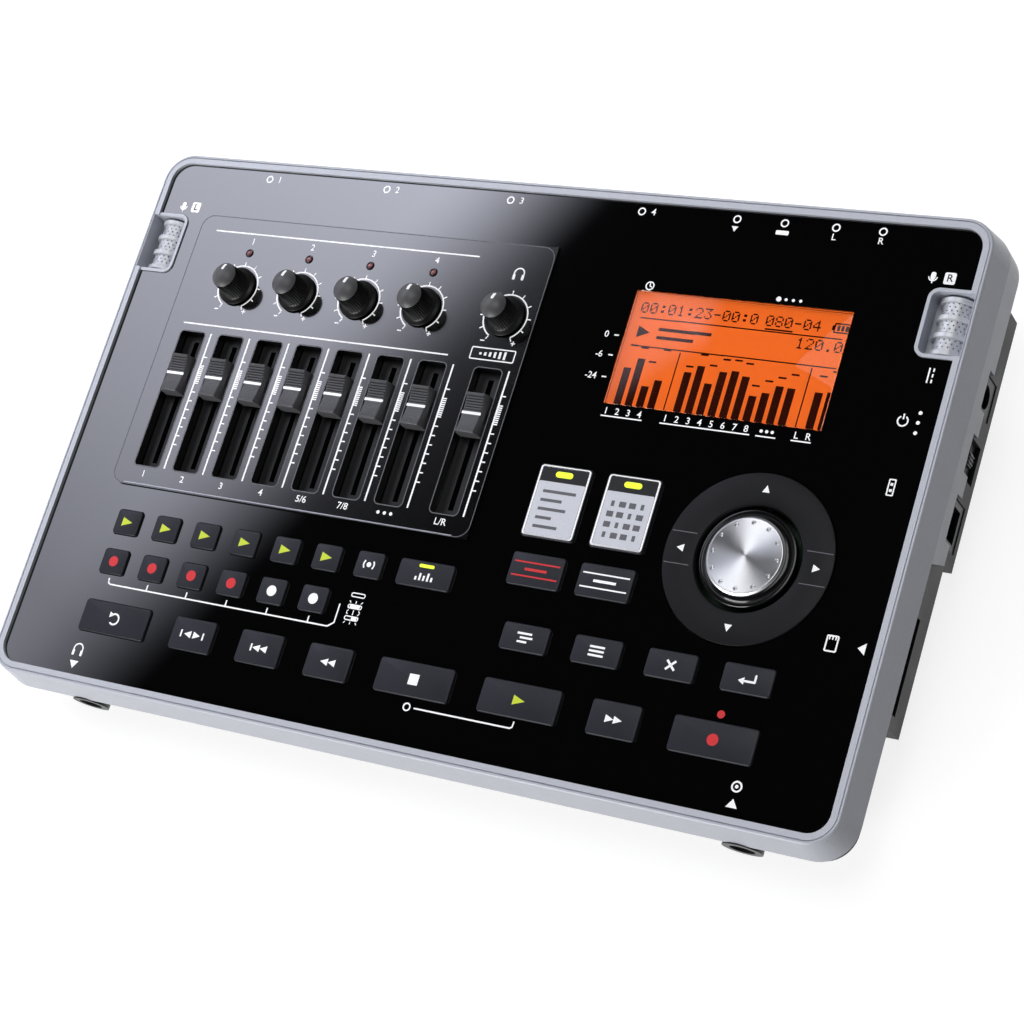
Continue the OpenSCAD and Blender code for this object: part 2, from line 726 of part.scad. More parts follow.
// Sweeps a profile round a rectangle: profile x points outwards from its edge, profile y is height
module swept_frame(w, d, r) {
    for (a = [0, 180]) rotate(a) {
        translate([w / 2, 0, 0]) rotate([90, 0, 0]) linear_extrude(d - 2 * r, center = true) children();
        translate([0, d / 2, 0]) rotate([90, 0, 90]) linear_extrude(w - 2 * r, center = true) children();
        translate([w / 2 - r, d / 2 - r, 0]) rotate_extrude(angle = 90) translate([r, 0]) children();
        translate([r - w / 2, d / 2 - r, 0]) rotate(90) rotate_extrude(angle = 90)
            translate([r, 0]) children();
    }
}

// Section of the silver case: ledge, rim with a rounded edge and a groove, and the flared wall
module case_section() {
    difference() {
        union() {
            polygon([
                [0, rim_rise], [rim_w - rim_r, rim_rise], [rim_w, rim_rise - rim_r],
                [rim_w + wall_flare, -wall_drop], [rim_w + wall_flare - wall_t, -wall_drop],
                [rim_w - wall_t, -panel_t - ledge_t], [-ledge_w, -panel_t - ledge_t],
                [-ledge_w, -panel_t], [0, -panel_t]
            ]);
            translate([rim_w - rim_r, rim_rise - rim_r]) circle(rim_r);
        }
        translate([groove_in, rim_rise - groove_w]) square([groove_w, groove_w + EPS]);
    }
}

// Plan of a microphone tub on the right side, grown by a margin; its outer side runs into the rim
module tub_plan(grow) {
    x1 = panel_w / 2 + fit_gap + rim_w / 2;
    x0 = panel_w / 2 - tub_w - grow;
    translate([(x0 + x1) / 2, tub_at]) rounded(x1 - x0, tub_l + 2 * grow, tub_r + grow);
    translate([x1 - tub_w / 2, tub_at]) square([tub_w, tub_l + 2 * grow], center = true);
}

// Does the same on the left and the right
module both_sides() {
    children();
    mirror([1, 0, 0]) children();
}

// Block that follows the right wall: centred on y, between two depths below the panel's face
module wall_block(y, w, z0, z1, x0, x1) {
    translate([x0, y - w / 2, -z1]) cube([x1 - x0, w, z1 - z0]);
}

// Box of a socket in the right wall, grown by a margin and ending at x1
module edge_box(b, grow, x1) {
    wall_block(b[0], b[1] + 2 * grow, edge_drop - b[2] / 2 - grow, edge_drop + b[2] / 2 + grow,
        edge_face - edge_socket_l - grow, x1);
}

// Everything that passes through the right wall at its sockets
module edge_cuts() {
    for (b = [INLET, SWITCH, DATA]) edge_box(b, fit_gap, half_w + OVER);
}

// Apron under the silver wall, from its slanted front end round the rear right corner, grown by a gap
module apron(gap) {
    corner_r = panel_r + case_out;
    side = half_w - corner_r;
    low = wall_drop + apron_h + gap;
    intersection() {
        translate([0, 0, -low]) linear_extrude(low - wall_drop + (gap > 0 ? 0 : EPS)) difference() {
            rounded(2 * (half_w + gap), 2 * (half_d + gap), corner_r + gap);
            rounded(2 * (half_w - apron_t - gap), 2 * (half_d - apron_t - gap), corner_r - apron_t - gap);
        }
        translate([side - gap, 0, 0]) rotate([90, 0, 90]) linear_extrude(corner_r + 3 * gap) polygon([
            [apron_y0 - gap, OVER - wall_drop], [apron_y0 - gap, -wall_drop],
            [apron_y0 + apron_slant - gap, -low - OVER],
            [half_d + OVER, -low - OVER], [half_d + OVER, OVER - wall_drop]
        ]);
    }
}

// Upright cylinders at the screw posts
module post_rods(r) {
    for (p = POSTS) translate([p[0], panel_y + p[1], 0]) cylinder(r = r, h = FAR);
}

// Upright holes from below to a screw head's seat
module screw_wells(r) {
    for (p = POSTS) translate([p[0], panel_y + p[1], 0]) cylinder(r = r, h = seat_z(p[1]));
}

// Slab of the panel's plane between two depths below its face
module panel_slab(z0, z1) {
    on_panel() translate([-FAR / 2, -FAR / 2, -z1]) cube([FAR, FAR, z1 - z0]);
}

// Cylinder along the panel's depth, from its front end back
module along_y(r, l) {
    rotate([-90, 0, 0]) cylinder(r = r, h = l);
}

module top_case() {
    color("silver") difference() {
        union() {
            on_panel() {
                difference() {
                    swept_frame(panel_w + 2 * fit_gap, panel_d + 2 * fit_gap, panel_r + fit_gap)
                        case_section();
                    both_sides() tub_hollow();
                }
                apron(0);
                both_sides() difference() {
                    translate([0, 0, -tub_depth - tub_wall])
                        linear_extrude(tub_depth + tub_wall + rim_rise / 2) tub_plan(tub_wall);
                    tub_hollow();
                }
            }
            intersection() {
                post_rods(post_r);
                panel_slab(panel_t + ledge_t, wall_drop);
            }
            post_webs();
        }
        for (p = POSTS) translate([p[0], panel_y + p[1], 0])
            cylinder(r = screw_r + EPS, h = split_z(p[1]) + screw_bite + screw_spare);
        on_panel() {
            edge_cuts();
            front_jack_holes();
        }
    }
}

// Webs that tie the upper screw posts to the silver wall
module post_webs() {
    reach = panel_d / 2 + fit_gap + rim_w;
    on_panel() for (p = POSTS) translate([p[0] - wall_t / 2, p[1] > 0 ? p[1] : -reach, -wall_drop])
        cube([wall_t, reach - abs(p[1]), wall_drop - panel_t - ledge_t]);
}

// Hollow of a microphone tub, open at the top
module tub_hollow() {
    translate([0, 0, -tub_depth]) linear_extrude(tub_depth + rim_rise + OVER) tub_plan(0);
}

// Round holes for the front jacks' collars
module front_jack_holes() {
    for (x = [-1, 1]) translate([x * front_jack_at, -collar_front - OVER, -jack_drop])
        along_y(collar_r + fit_gap, front_collar_l + 2 * OVER);
}

// Tray between the silver wall's foot and its own smaller bottom, moved in by a wall
module tray(inset) {
    top_z = -wall_drop + (inset > 0 ? OVER : 0);
    corner_r = panel_r + rim_w - inset;
    hull() {
        translate([0, (tray_lip - rear_inset) / 2, top_z - EPS]) linear_extrude(EPS)
            rounded(2 * (half_w - tray_lip - inset), 2 * (half_d - inset) - rear_inset - tray_lip,
                corner_r, $fn = 32);
        translate([0, (rear_tray - half_d + tray_inset) / 2, -tray_z + inset]) linear_extrude(EPS)
            rounded(2 * (half_w - tray_inset - inset), rear_tray + half_d - tray_inset - 2 * inset,
                corner_r, $fn = 32);
    }
}

// Flange round the tray's top that the silver wall stands on
module tray_flange() {
    translate([0, 0, -wall_drop - wall_t]) linear_extrude(wall_t)
        rounded(2 * (half_w - tray_lip), 2 * (half_d - tray_lip), panel_r + rim_w);
}

// Deep part that stands on the table, moved in by a wall
module deep_part(inset) {
    depth = rear_y - deep_y0;
    intersection() {
        translate([0, rear_y - depth / 2, foot_h + inset]) linear_extrude(FAR)
            rounded(2 * (deep_half_w - inset), depth - 2 * inset, deep_r - inset);
        panel_slab(wall_drop + (inset > 0 ? 0 : wall_t), FAR);
    }
}

// Socket wall on the right from a front end down to a depth, moved in by a wall
module socket_wall(y0, z1, inset) {
    wall_block((y0 + bulge_y1) / 2, bulge_y1 - y0 - 2 * inset, wall_drop - (inset > 0 ? OVER : 0),
        z1 - inset, half_w / 2, half_w - bulge_inset - inset);
}

// Both depths of the socket wall, moved in by a wall
module socket_bulge(inset) {
    socket_wall(bulge_y0, tray_z, inset);
    socket_wall(block_y0, block_z, inset);
}

// Plan of the battery cover, grown by a gap
module cover_plan(gap) {
    translate([0, bay_y]) square([cover_w + 2 * gap, cover_d + 2 * gap], center = true);
}

// Puts its children at the four feet
module feet_places() {
    for (x = [-1, 1]) translate([x * (deep_half_w - foot_x_inset), 0, 0]) {
        translate([0, deep_y0 + foot_y_inset, 0]) children();
        translate([0, rear_y - foot_y_inset, 0]) children();
    }
}

// Round hole in the rear wall
module rear_wall_cut(x, r) {
    translate([x, rear_y - wall_t - OVER, rear_socket_z]) along_y(r, wall_t + 2 * OVER);
}

module bottom_case() {
    color("#161618") {
        difference() {
            union() {
                on_panel() {
                    tray(0);
                    tray_flange();
                    socket_bulge(0);
                }
                deep_part(0);
            }
            on_panel() {
                tray(wall_t);
                socket_bulge(wall_t);
            }
            deep_part(wall_t);
            translate([0, 0, foot_h - OVER]) linear_extrude(wall_t + 2 * OVER) cover_plan(cover_gap);
            for (x = input_xs) rear_wall_cut(x, barrel_r + fit_gap);
            for (x = [line_in_at, pedal_at]) rear_wall_cut(x, collar_r + fit_gap);
            for (x = phono_xs) rear_wall_cut(x, phono_seat_r + fit_gap);
            on_panel() {
                apron(fit_gap);
                edge_cuts();
                wall_block(card_at, card_w, card_drop, card_drop + card_h, card_front, half_w + OVER);
                front_jack_holes();
            }
            post_holes();
        }
        difference() {
            intersection() {
                union() {
                    on_panel() tray(0);
                    deep_part(0);
                }
                post_rods(post_r);
            }
            post_holes();
        }
        bay_walls();
    }
}

// Holes for the case screws and their heads
module post_holes() {
    screw_wells(screw_head_r + fit_gap);
    post_rods(screw_r + fit_gap);
}

// Walls of the battery bay on the floor round the cover's opening and its lugs
module bay_walls() {
    y0 = bay_y - cover_d / 2 - lug_reach - lug_room;
    y1 = bay_y + cover_d / 2 + cover_gap;
    w = cover_w + 2 * cover_gap;
    translate([0, 0, floor_z - EPS]) linear_extrude(bay_wall_h) difference() {
        translate([-w / 2 - wall_t, y0 - wall_t]) square([w + 2 * wall_t, y1 - y0 + 2 * wall_t]);
        translate([-w / 2, y0]) square([w, y1 - y0]);
    }
}

// Plan of a key, grown by a margin
module key_plan(k, grow) {
    translate([k[1], k[2]]) rounded(k[3] + 2 * grow, k[4] + 2 * grow, key_r + grow);
}

module control_panel() {
    thick = panel_t + field_rise + 2 * OVER;
    color("#0b0b0d") on_panel() difference() {
        union() {
            translate([0, 0, -panel_t]) linear_extrude(panel_t) rounded(panel_w, panel_d, panel_r);
            linear_extrude(field_rise) field_plan();
            for (b = BOSSES) translate([b[0], b[1], -board_drop])
                cylinder(r = boss_r, h = board_drop - panel_t + EPS);
            pivot_blocks();
        }
        translate([0, 0, -panel_t - OVER]) {
            linear_extrude(thick) {
                for (k = KEYS) key_plan(k, key_gap);
                for (f = FADERS) translate([f[1], slot_at]) square([slot_w, slot_l], center = true);
                translate(lcd_at) square([lcd_w, lcd_d], center = true);
                both_sides() tub_plan(tub_wall + fit_gap);
            }
            for (k = KNOBS) translate([k[1], knob_at, 0]) cylinder(r = shaft_r + shaft_hole, h = thick);
            translate(dial_at) cylinder(r = ring_r + ring_gap, h = thick);
        }
        translate([dial_at[0] - pin_reach - OVER, dial_at[1], -pivot_drop]) rotate([0, 90, 0])
            cylinder(r = pivot_r + bush_gap, h = 2 * (pin_reach + OVER));
    }
}

// Raised mixer field: round corners on the left, square ones on the right
module field_plan() {
    translate(field_at) {
        rounded(field_w, field_d, field_r);
        translate([field_w / 4, 0]) square([field_w / 2, field_d], center = true);
    }
}

// Bearing blocks of the gimbal's outer pins, under the panel
module pivot_blocks() {
    low = pivot_drop + block_foot;
    translate(dial_at) for (x = [-1, 1])
        translate([x * (pin_reach - block_t / 2), 0, -(low + panel_t) / 2])
            cube([block_t, block_w, low - panel_t + EPS], center = true);
}

module lcd_window() {
    color([0.9, 0.5, 0.3, 0.35]) on_panel() translate(lcd_at) translate([0, 0, -panel_t])
        linear_extrude(panel_t) square([lcd_w - 2 * fit_gap, lcd_d - 2 * fit_gap], center = true);
}

module lcd_module() {
    color("darkorange") on_panel() translate(lcd_at) translate([0, 0, -board_drop])
        linear_extrude(board_drop - panel_t)
            square([lcd_w + 2 * lcd_border, lcd_d + 2 * lcd_border], center = true);
}

module main_board() {
    notch = jack_body_l - collar_front + board_half_d + board_notch;
    color("darkgreen") on_panel() {
        translate([0, 0, -board_drop - board_t]) linear_extrude(board_t) difference() {
            square([2 * board_half_w, 2 * board_half_d], center = true);
            for (x = [-1, 1]) translate([x * front_jack_at, -board_half_d])
                square([2 * (jack_body_r + board_notch), 2 * notch], center = true);
        }
        for (k = KEYS) translate([k[1], k[2], -board_drop - EPS]) cylinder(r = switch_r, h = switch_h + EPS);
        ring_switches();
    }
}

// Four switches under the cursor ring's edge
module ring_switches() {
    top_z = ring_rise - ring_t - key_travel - ring_switch_gap;
    for (a = [ring_switch_turn, 90, 180 + ring_switch_turn, 270])
        translate(dial_at) rotate(a) translate([ring_r - ring_switch_in, 0, -board_drop - EPS])
            cylinder(r = ring_switch_r, h = board_drop + top_z + EPS);
}

module potentiometers() {
    color("dimgray") on_panel() {
        for (f = FADERS) translate([f[1], slot_at, -board_drop]) slide_pot();
        for (k = KNOBS) translate([k[1], knob_at, -board_drop])
            rotary_pot(rotary_w, rotary_d, board_drop - pot_top, shaft_r);
        translate(dial_at) translate([0, 0, -board_drop])
            rotary_pot(encoder_w, encoder_w, board_drop - encoder_drop, dial_shaft_r);
    }
}

// Slide potentiometer on the board, with a groove for its lever
module slide_pot() {
    w = slot_w - 2 * pot_side;
    l = slot_l + 2 * pot_end;
    groove = lever_t + 2 * lever_gap;
    difference() {
        translate([-w / 2, -l / 2, 0]) cube([w, l, board_drop - pot_top]);
        translate([-groove / 2, -l / 2 + 2 * pot_end, pot_floor]) cube([groove, l - 4 * pot_end, board_drop]);
    }
}

// Rotary potentiometer on the board, with a bush for its shaft
module rotary_pot(w, d, h, r) {
    difference() {
        translate([-w / 2, -d / 2, 0]) cube([w, d, h]);
        translate([0, 0, pot_floor]) cylinder(r = r + bush_gap, h = h);
    }
}

// Body with a round bore that opens at y = 0 and runs towards -y
module jack(r, bore, body_r, body_l, mouth_r, mouth_l) {
    difference() {
        union() {
            translate([-body_r, -body_l, -body_r])
                cube([2 * body_r, body_l - wall_t - fit_gap - mouth_l, 2 * body_r]);
            translate([0, -body_l, 0]) along_y(min(mouth_r, body_r), body_l);
            translate([0, -wall_t - fit_gap - mouth_l - EPS, 0])
                along_y(mouth_r, wall_t + fit_gap + mouth_l + EPS);
        }
        translate([0, -bore, 0]) along_y(r, bore + OVER);
    }
}

module large_input() {
    difference() {
        union() {
            translate([0, -barrel_l, 0]) along_y(barrel_r, barrel_l);
            along_y(input_r, flange_t);
        }
        translate([0, flange_t - well_depth, 0]) along_y(well_r, well_depth + OVER);
        translate([0, flange_t - well_depth - jack_bore, 0]) along_y(jack_r, jack_bore + OVER);
    }
}

module phono() {
    back = wall_t + fit_gap;
    difference() {
        union() {
            translate([-phono_body_w / 2, -back - phono_body_l, -phono_body_h / 2])
                cube([phono_body_w, phono_body_l, phono_body_h]);
            translate([0, -back - OVER, 0]) along_y(phono_seat_r, back + OVER);
            translate([0, -EPS, 0]) along_y(phono_r, phono_l + EPS);
        }
        translate([0, -back, 0]) along_y(phono_hole_r, phono_l + back + OVER);
    }
}

module sockets() {
    color("#202022") {
        translate([0, rear_y + EPS, rear_socket_z]) {
            for (x = input_xs) translate([x, 0, 0]) large_input();
            translate([line_in_at, flange_t, 0])
                jack(mini_jack_r, mini_bore, mini_body_r, mini_body_l, collar_r, flange_t);
            translate([pedal_at, flange_t, 0])
                jack(jack_r, jack_bore, jack_body_r, jack_body_l, collar_r, flange_t);
            for (x = phono_xs) translate([x, 0, 0]) phono();
        }
        on_panel() {
            for (x = [-1, 1]) translate([x * front_jack_at, -collar_front, -jack_drop]) rotate(180)
                jack(jack_r, jack_bore, jack_body_r, jack_body_l, collar_r, front_collar_l);
            power_inlet();
            switch_housing();
            data_socket();
            card_reader();
        }
    }
}

module power_inlet() {
    difference() {
        edge_box(INLET, 0, edge_face);
        translate([edge_face - inlet_depth, inlet_at, -edge_drop]) rotate([0, 90, 0]) difference() {
            cylinder(r = inlet_r, h = inlet_depth + OVER);
            cylinder(r = inlet_pin_r, h = inlet_depth - inlet_pin_back);
        }
    }
}

// Housing that the power switch's knob slides in
module switch_housing() {
    half_h = switch_knob_h / 2 + switch_gap;
    difference() {
        edge_box(SWITCH, 0, edge_face - housing_back);
        wall_block(switch_at, switch_w + 2 * (switch_travel + switch_spare), edge_drop - half_h,
            edge_drop + half_h, edge_face - housing_back - switch_slot, edge_face);
    }
}

module data_socket() {
    half_h = data_h / 2 - data_rim;
    difference() {
        edge_box(DATA, 0, edge_face);
        wall_block(data_at, data_w - 2 * data_rim, edge_drop - half_h, edge_drop + half_h,
            edge_face - data_depth, edge_face + OVER);
    }
}

// Card reader under the main board, open towards the slot in the right wall
module card_reader() {
    difference() {
        wall_block(card_at, card_w + 2 * card_wall, board_drop + board_t, card_drop + card_h + card_wall,
            card_front - card_l - card_wall, card_front);
        wall_block(card_at, card_w, card_drop, card_drop + card_h, card_front - card_l, card_front + OVER);
    }
}

module power_switch() {
    top_z = edge_drop - switch_knob_h / 2;
    end_x = edge_face + switch_proud;
    color("#1c1c1e") on_panel() {
        wall_block(switch_at, switch_w, top_z, top_z + switch_knob_h,
            edge_face - housing_back - switch_slot + switch_gap, end_x);
        for (i = [-1:1]) wall_block(switch_at + i * switch_rib_pitch, switch_rib_w, top_z,
            top_z + switch_knob_h, end_x - EPS, end_x + switch_rib_h);
    }
}

// Barrel along the panel's depth with raised hoops, in each tub
module mic_grilles() {
    l = tub_l - 2 * grille_end;
    color("lightgray") on_panel() both_sides()
        translate([(panel_w - tub_w) / 2 + grille_out, tub_at - l / 2, -tub_depth]) intersection() {
            union() {
                along_y(grille_r - hoop_rise, l);
                for (i = [0:hoops - 1]) translate([0, i * (l - hoop_w) / (hoops - 1), 0])
                    along_y(grille_r, hoop_w);
            }
            translate([-grille_r, 0, 0]) cube([2 * grille_r, l, grille_r]);
        }
}

module rubber_feet() {
    color("#0c0c0c") feet_places() cylinder(r = foot_r, h = foot_h);
}

module case_screws() {
    color("gray") for (p = POSTS) translate([p[0], panel_y + p[1], seat_z(p[1])]) {
        translate([0, 0, -screw_head_h]) cylinder(r = screw_head_r, h = screw_head_h);
        translate([0, 0, -EPS]) cylinder(r = screw_r, h = split_z(p[1]) - seat_z(p[1]) + screw_bite + EPS);
    }
}

module batteries() {
    axis_z = foot_h + cover_t + cell_seat + cell_r;
    color("darkkhaki") for (i = [-1:1], s = [-1, 1])
        translate([s * (cell_l + contact_room) / 2, bay_y + i * (2 * cell_r + cell_gap), axis_z])
            rotate([0, 90, 0]) {
                cylinder(r = cell_r, h = cell_l - 2 * cell_tip_h, center = true);
                cylinder(r = cell_tip_r, h = cell_l, center = true);
            }
}

module battery_cover() {
    color("#1a1a1c") {
        translate([0, 0, foot_h]) linear_extrude(cover_t) cover_plan(0);
        for (x = [-1, 1]) translate([x * lug_x - lug_w / 2, bay_y - cover_d / 2, foot_h]) {
            translate([0, 0, cover_t - EPS]) cube([lug_w, lug_neck, wall_t - cover_t + lug_gap + lug_t]);
            translate([0, -lug_reach, wall_t + lug_gap]) cube([lug_w, lug_reach + lug_neck, lug_t]);
        }
    }
}

// A key: bevelled cap, flange under the panel and a stem to its switch
module key(k) {
    low = panel_t + key_flange_t + key_play;
    color(k[4] == pad_d ? "silver" : "#2d2e32") on_panel() {
        translate([0, 0, -low]) linear_extrude(low + key_rise - key_bevel) key_plan(k, 0);
        translate([0, 0, key_rise - key_bevel - EPS]) linear_extrude(key_bevel + EPS) key_plan(k, -key_bevel);
        translate([0, 0, -low]) linear_extrude(key_flange_t) key_plan(k, key_flange);
        translate([k[1], k[2], -stem_end]) cylinder(r = stem_r, h = stem_end - panel_t);
    }
}

// A knob with its shaft: foot flange, flare, tapered and fluted grip, domed top
module knob(x) {
    base = field_rise + knob_gap;
    taper = knob_h - knob_dome;
    sphere_r = (knob_top_r * knob_top_r + knob_dome * knob_dome) / (2 * knob_dome);
    color("#3a3a3e") on_panel() translate([x, knob_at, base]) {
        difference() {
            rotate_extrude() polygon([
                [0, 0], [knob_r, 0], [knob_r, knob_flange_t], [knob_grip_r, knob_flare_h],
                [knob_top_r, taper], [0, taper]
            ]);
            for (i = [0:knob_flutes - 1]) rotate(i * 360 / knob_flutes)
                translate([knob_grip_r + flute_out, 0, knob_flare_h]) cylinder(r = flute_r, h = taper);
        }
        intersection() {
            translate([0, 0, taper - EPS]) cylinder(r = knob_top_r, h = knob_dome + OVER);
            translate([0, 0, knob_h - sphere_r]) sphere(sphere_r);
        }
        translate([0, 0, -base - shaft_end]) cylinder(r = shaft_r, h = base + shaft_end + OVER);
    }
}

// A fader: saddle-shaped cap, and a lever that reaches into its slide potentiometer
module fader(x) {
    low = -panel_t + cap_low;
    foot = field_rise + cap_foot;
    top = field_rise + cap_h;
    valley_r = (cap_l * cap_l / 4 + cap_valley * cap_valley) / (2 * cap_valley);
    color("#707074") on_panel() translate([x, fader_at, 0]) {
        difference() {
            rotate([90, 0, 0]) linear_extrude(cap_l, center = true)
                polygon([
                    [-cap_w / 2, low], [cap_w / 2, low], [cap_w / 2, foot],
                    [cap_top_w / 2, top], [-cap_top_w / 2, top], [-cap_w / 2, foot]
                ]);
            translate([0, 0, top - cap_valley + valley_r]) rotate([0, 90, 0])
                cylinder(r = valley_r, h = 2 * cap_w, center = true, $fn = 128);
        }
        translate([-lever_t / 2, -lever_w / 2, -lever_end]) cube([lever_t, lever_w, lever_end + low + EPS]);
    }
}

// The gimbal: a flat hoop with pins left and right for the panel, and front and rear for the ring
module cursor_gimbal() {
    out_r = ring_r - gimbal_out;
    in_r = ring_hole_r + gimbal_in;
    color("gainsboro") on_panel() translate(dial_at) translate([0, 0, -pivot_drop]) {
        translate([0, 0, -gimbal_t / 2]) linear_extrude(gimbal_t) difference() {
            circle(out_r);
            circle(in_r);
        }
        for (a = [0, 180]) rotate(a) translate([out_r - pin_root, 0, 0]) rotate([0, 90, 0])
            cylinder(r = pivot_r, h = pin_reach - out_r + pin_root);
        for (a = [90, 270]) rotate(a) translate([ring_hole_r + ear_in, 0, 0]) rotate([0, 90, 0])
            cylinder(r = pivot_r, h = gimbal_in - ear_in + pin_root);
    }
}

module cursor_ring() {
    ear_x = ring_hole_r + ear_in;
    low = pivot_drop + ear_foot;
    color("#222226") on_panel() translate(dial_at) {
        translate([0, 0, ring_rise - ring_t]) linear_extrude(ring_t) difference() {
            circle(ring_r, $fn = 128);
            circle(ring_hole_r, $fn = 128);
        }
        for (a = [90, 270]) rotate(a) difference() {
            translate([ear_x, -ear_w / 2, -low]) cube([ear_t, ear_w, low + ring_rise - ring_t + EPS]);
            translate([ear_x - OVER, 0, -pivot_drop]) rotate([0, 90, 0])
                cylinder(r = pivot_r + bush_gap, h = ear_t + 2 * OVER);
        }
    }
}

// The jog dial: dished skirt, dimpled metal top and a shaft down to its encoder
module jog_dial() {
    color("lightgray") on_panel() translate(dial_at) {
        difference() {
            rotate_extrude($fn = 128) polygon([
                [0, -dial_low], [skirt_r, -dial_low], [skirt_r, skirt_rise], [dial_r + neck_out, neck_rise],
                [dial_r, dial_rise - dial_edge], [dial_r - dial_edge, dial_rise], [0, dial_rise]
            ]);
            for (i = [0:dimples - 1]) rotate(i * 360 / dimples)
                translate([dimple_pcr, 0, dial_rise + dimple_lift]) sphere(dimple_r);
        }
        translate([0, 0, -shaft_end]) cylinder(r = dial_shaft_r, h = shaft_end);
    }
}

top_case();
bottom_case();
control_panel();
lcd_window();
lcd_module();
main_board();
potentiometers();
sockets();
mic_grilles();
rubber_feet();
case_screws();
batteries();
cursor_gimbal();
cursor_ring();
jog_dial();
power_switch();
battery_cover();
for (k = KEYS) key(k);
for (k = KNOBS) knob(k[1]);
for (f = FADERS) fader(f[1]);
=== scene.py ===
"""Dress the digital multitrack recorder: finishes, modelled pieces, printed marks, light and camera.

Sizes are in millimetres on the sloping panel's own plane (x right, y to the rear, z out of the face).
They become metres in the part's frame when a piece is put in place.
"""

import logging
import math
from collections.abc import Callable, Iterable, Sequence
from dataclasses import dataclass, field
from enum import Enum

import bpy
from mathutils import Matrix, Vector


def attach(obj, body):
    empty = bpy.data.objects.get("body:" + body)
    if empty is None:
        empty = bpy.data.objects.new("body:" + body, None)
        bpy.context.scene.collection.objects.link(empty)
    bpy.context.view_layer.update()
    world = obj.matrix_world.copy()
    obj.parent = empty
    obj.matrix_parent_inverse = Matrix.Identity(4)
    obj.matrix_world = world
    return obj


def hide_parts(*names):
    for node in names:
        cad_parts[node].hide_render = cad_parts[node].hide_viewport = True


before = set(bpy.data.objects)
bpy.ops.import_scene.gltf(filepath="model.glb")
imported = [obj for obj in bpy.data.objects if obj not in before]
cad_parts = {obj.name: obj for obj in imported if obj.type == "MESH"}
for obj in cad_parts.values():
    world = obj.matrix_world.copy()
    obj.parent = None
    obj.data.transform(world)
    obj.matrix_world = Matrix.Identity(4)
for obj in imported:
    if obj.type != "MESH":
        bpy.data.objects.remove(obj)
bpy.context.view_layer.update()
LOG = logging.getLogger("recorder")
MM = 0.001
Colour = tuple[float, float, float]
Point = tuple[float, float]
Spot = tuple[float, float, float]
Socket = bpy.types.NodeSocket


@dataclass(frozen=True)
class Plane:
    """A plane that pieces are modelled on: its slope in degrees and its origin in millimetres."""

    tilt: float = 0.0
    y: float = 0.0
    z: float = 0.0

    def matrix(self, x: float = 0.0, y: float = 0.0, z: float = 0.0) -> Matrix:
        """Return the way from millimetres round a point of the plane to metres in the part's frame.

        Args:
            x: place of the point, left to right.
            y: place of the point, front to rear.
            z: height of the point over the plane.

        Returns:
            The matrix that a finished mesh is moved by.
        """
        turn = Matrix.Rotation(math.radians(self.tilt), 4, "X")
        origin = Matrix.Translation((0.0, self.y, self.z))
        return Matrix.Scale(MM, 4) @ origin @ turn @ Matrix.Translation((x, y, z))


PANEL = Plane(tilt=8.0, y=-2.66797, z=34.2)


class Body(Enum):
    """The bodies that more than one piece rides on."""

    CASE = "case"
    RING = "cursor_ring"
    DIAL = "jog_dial"


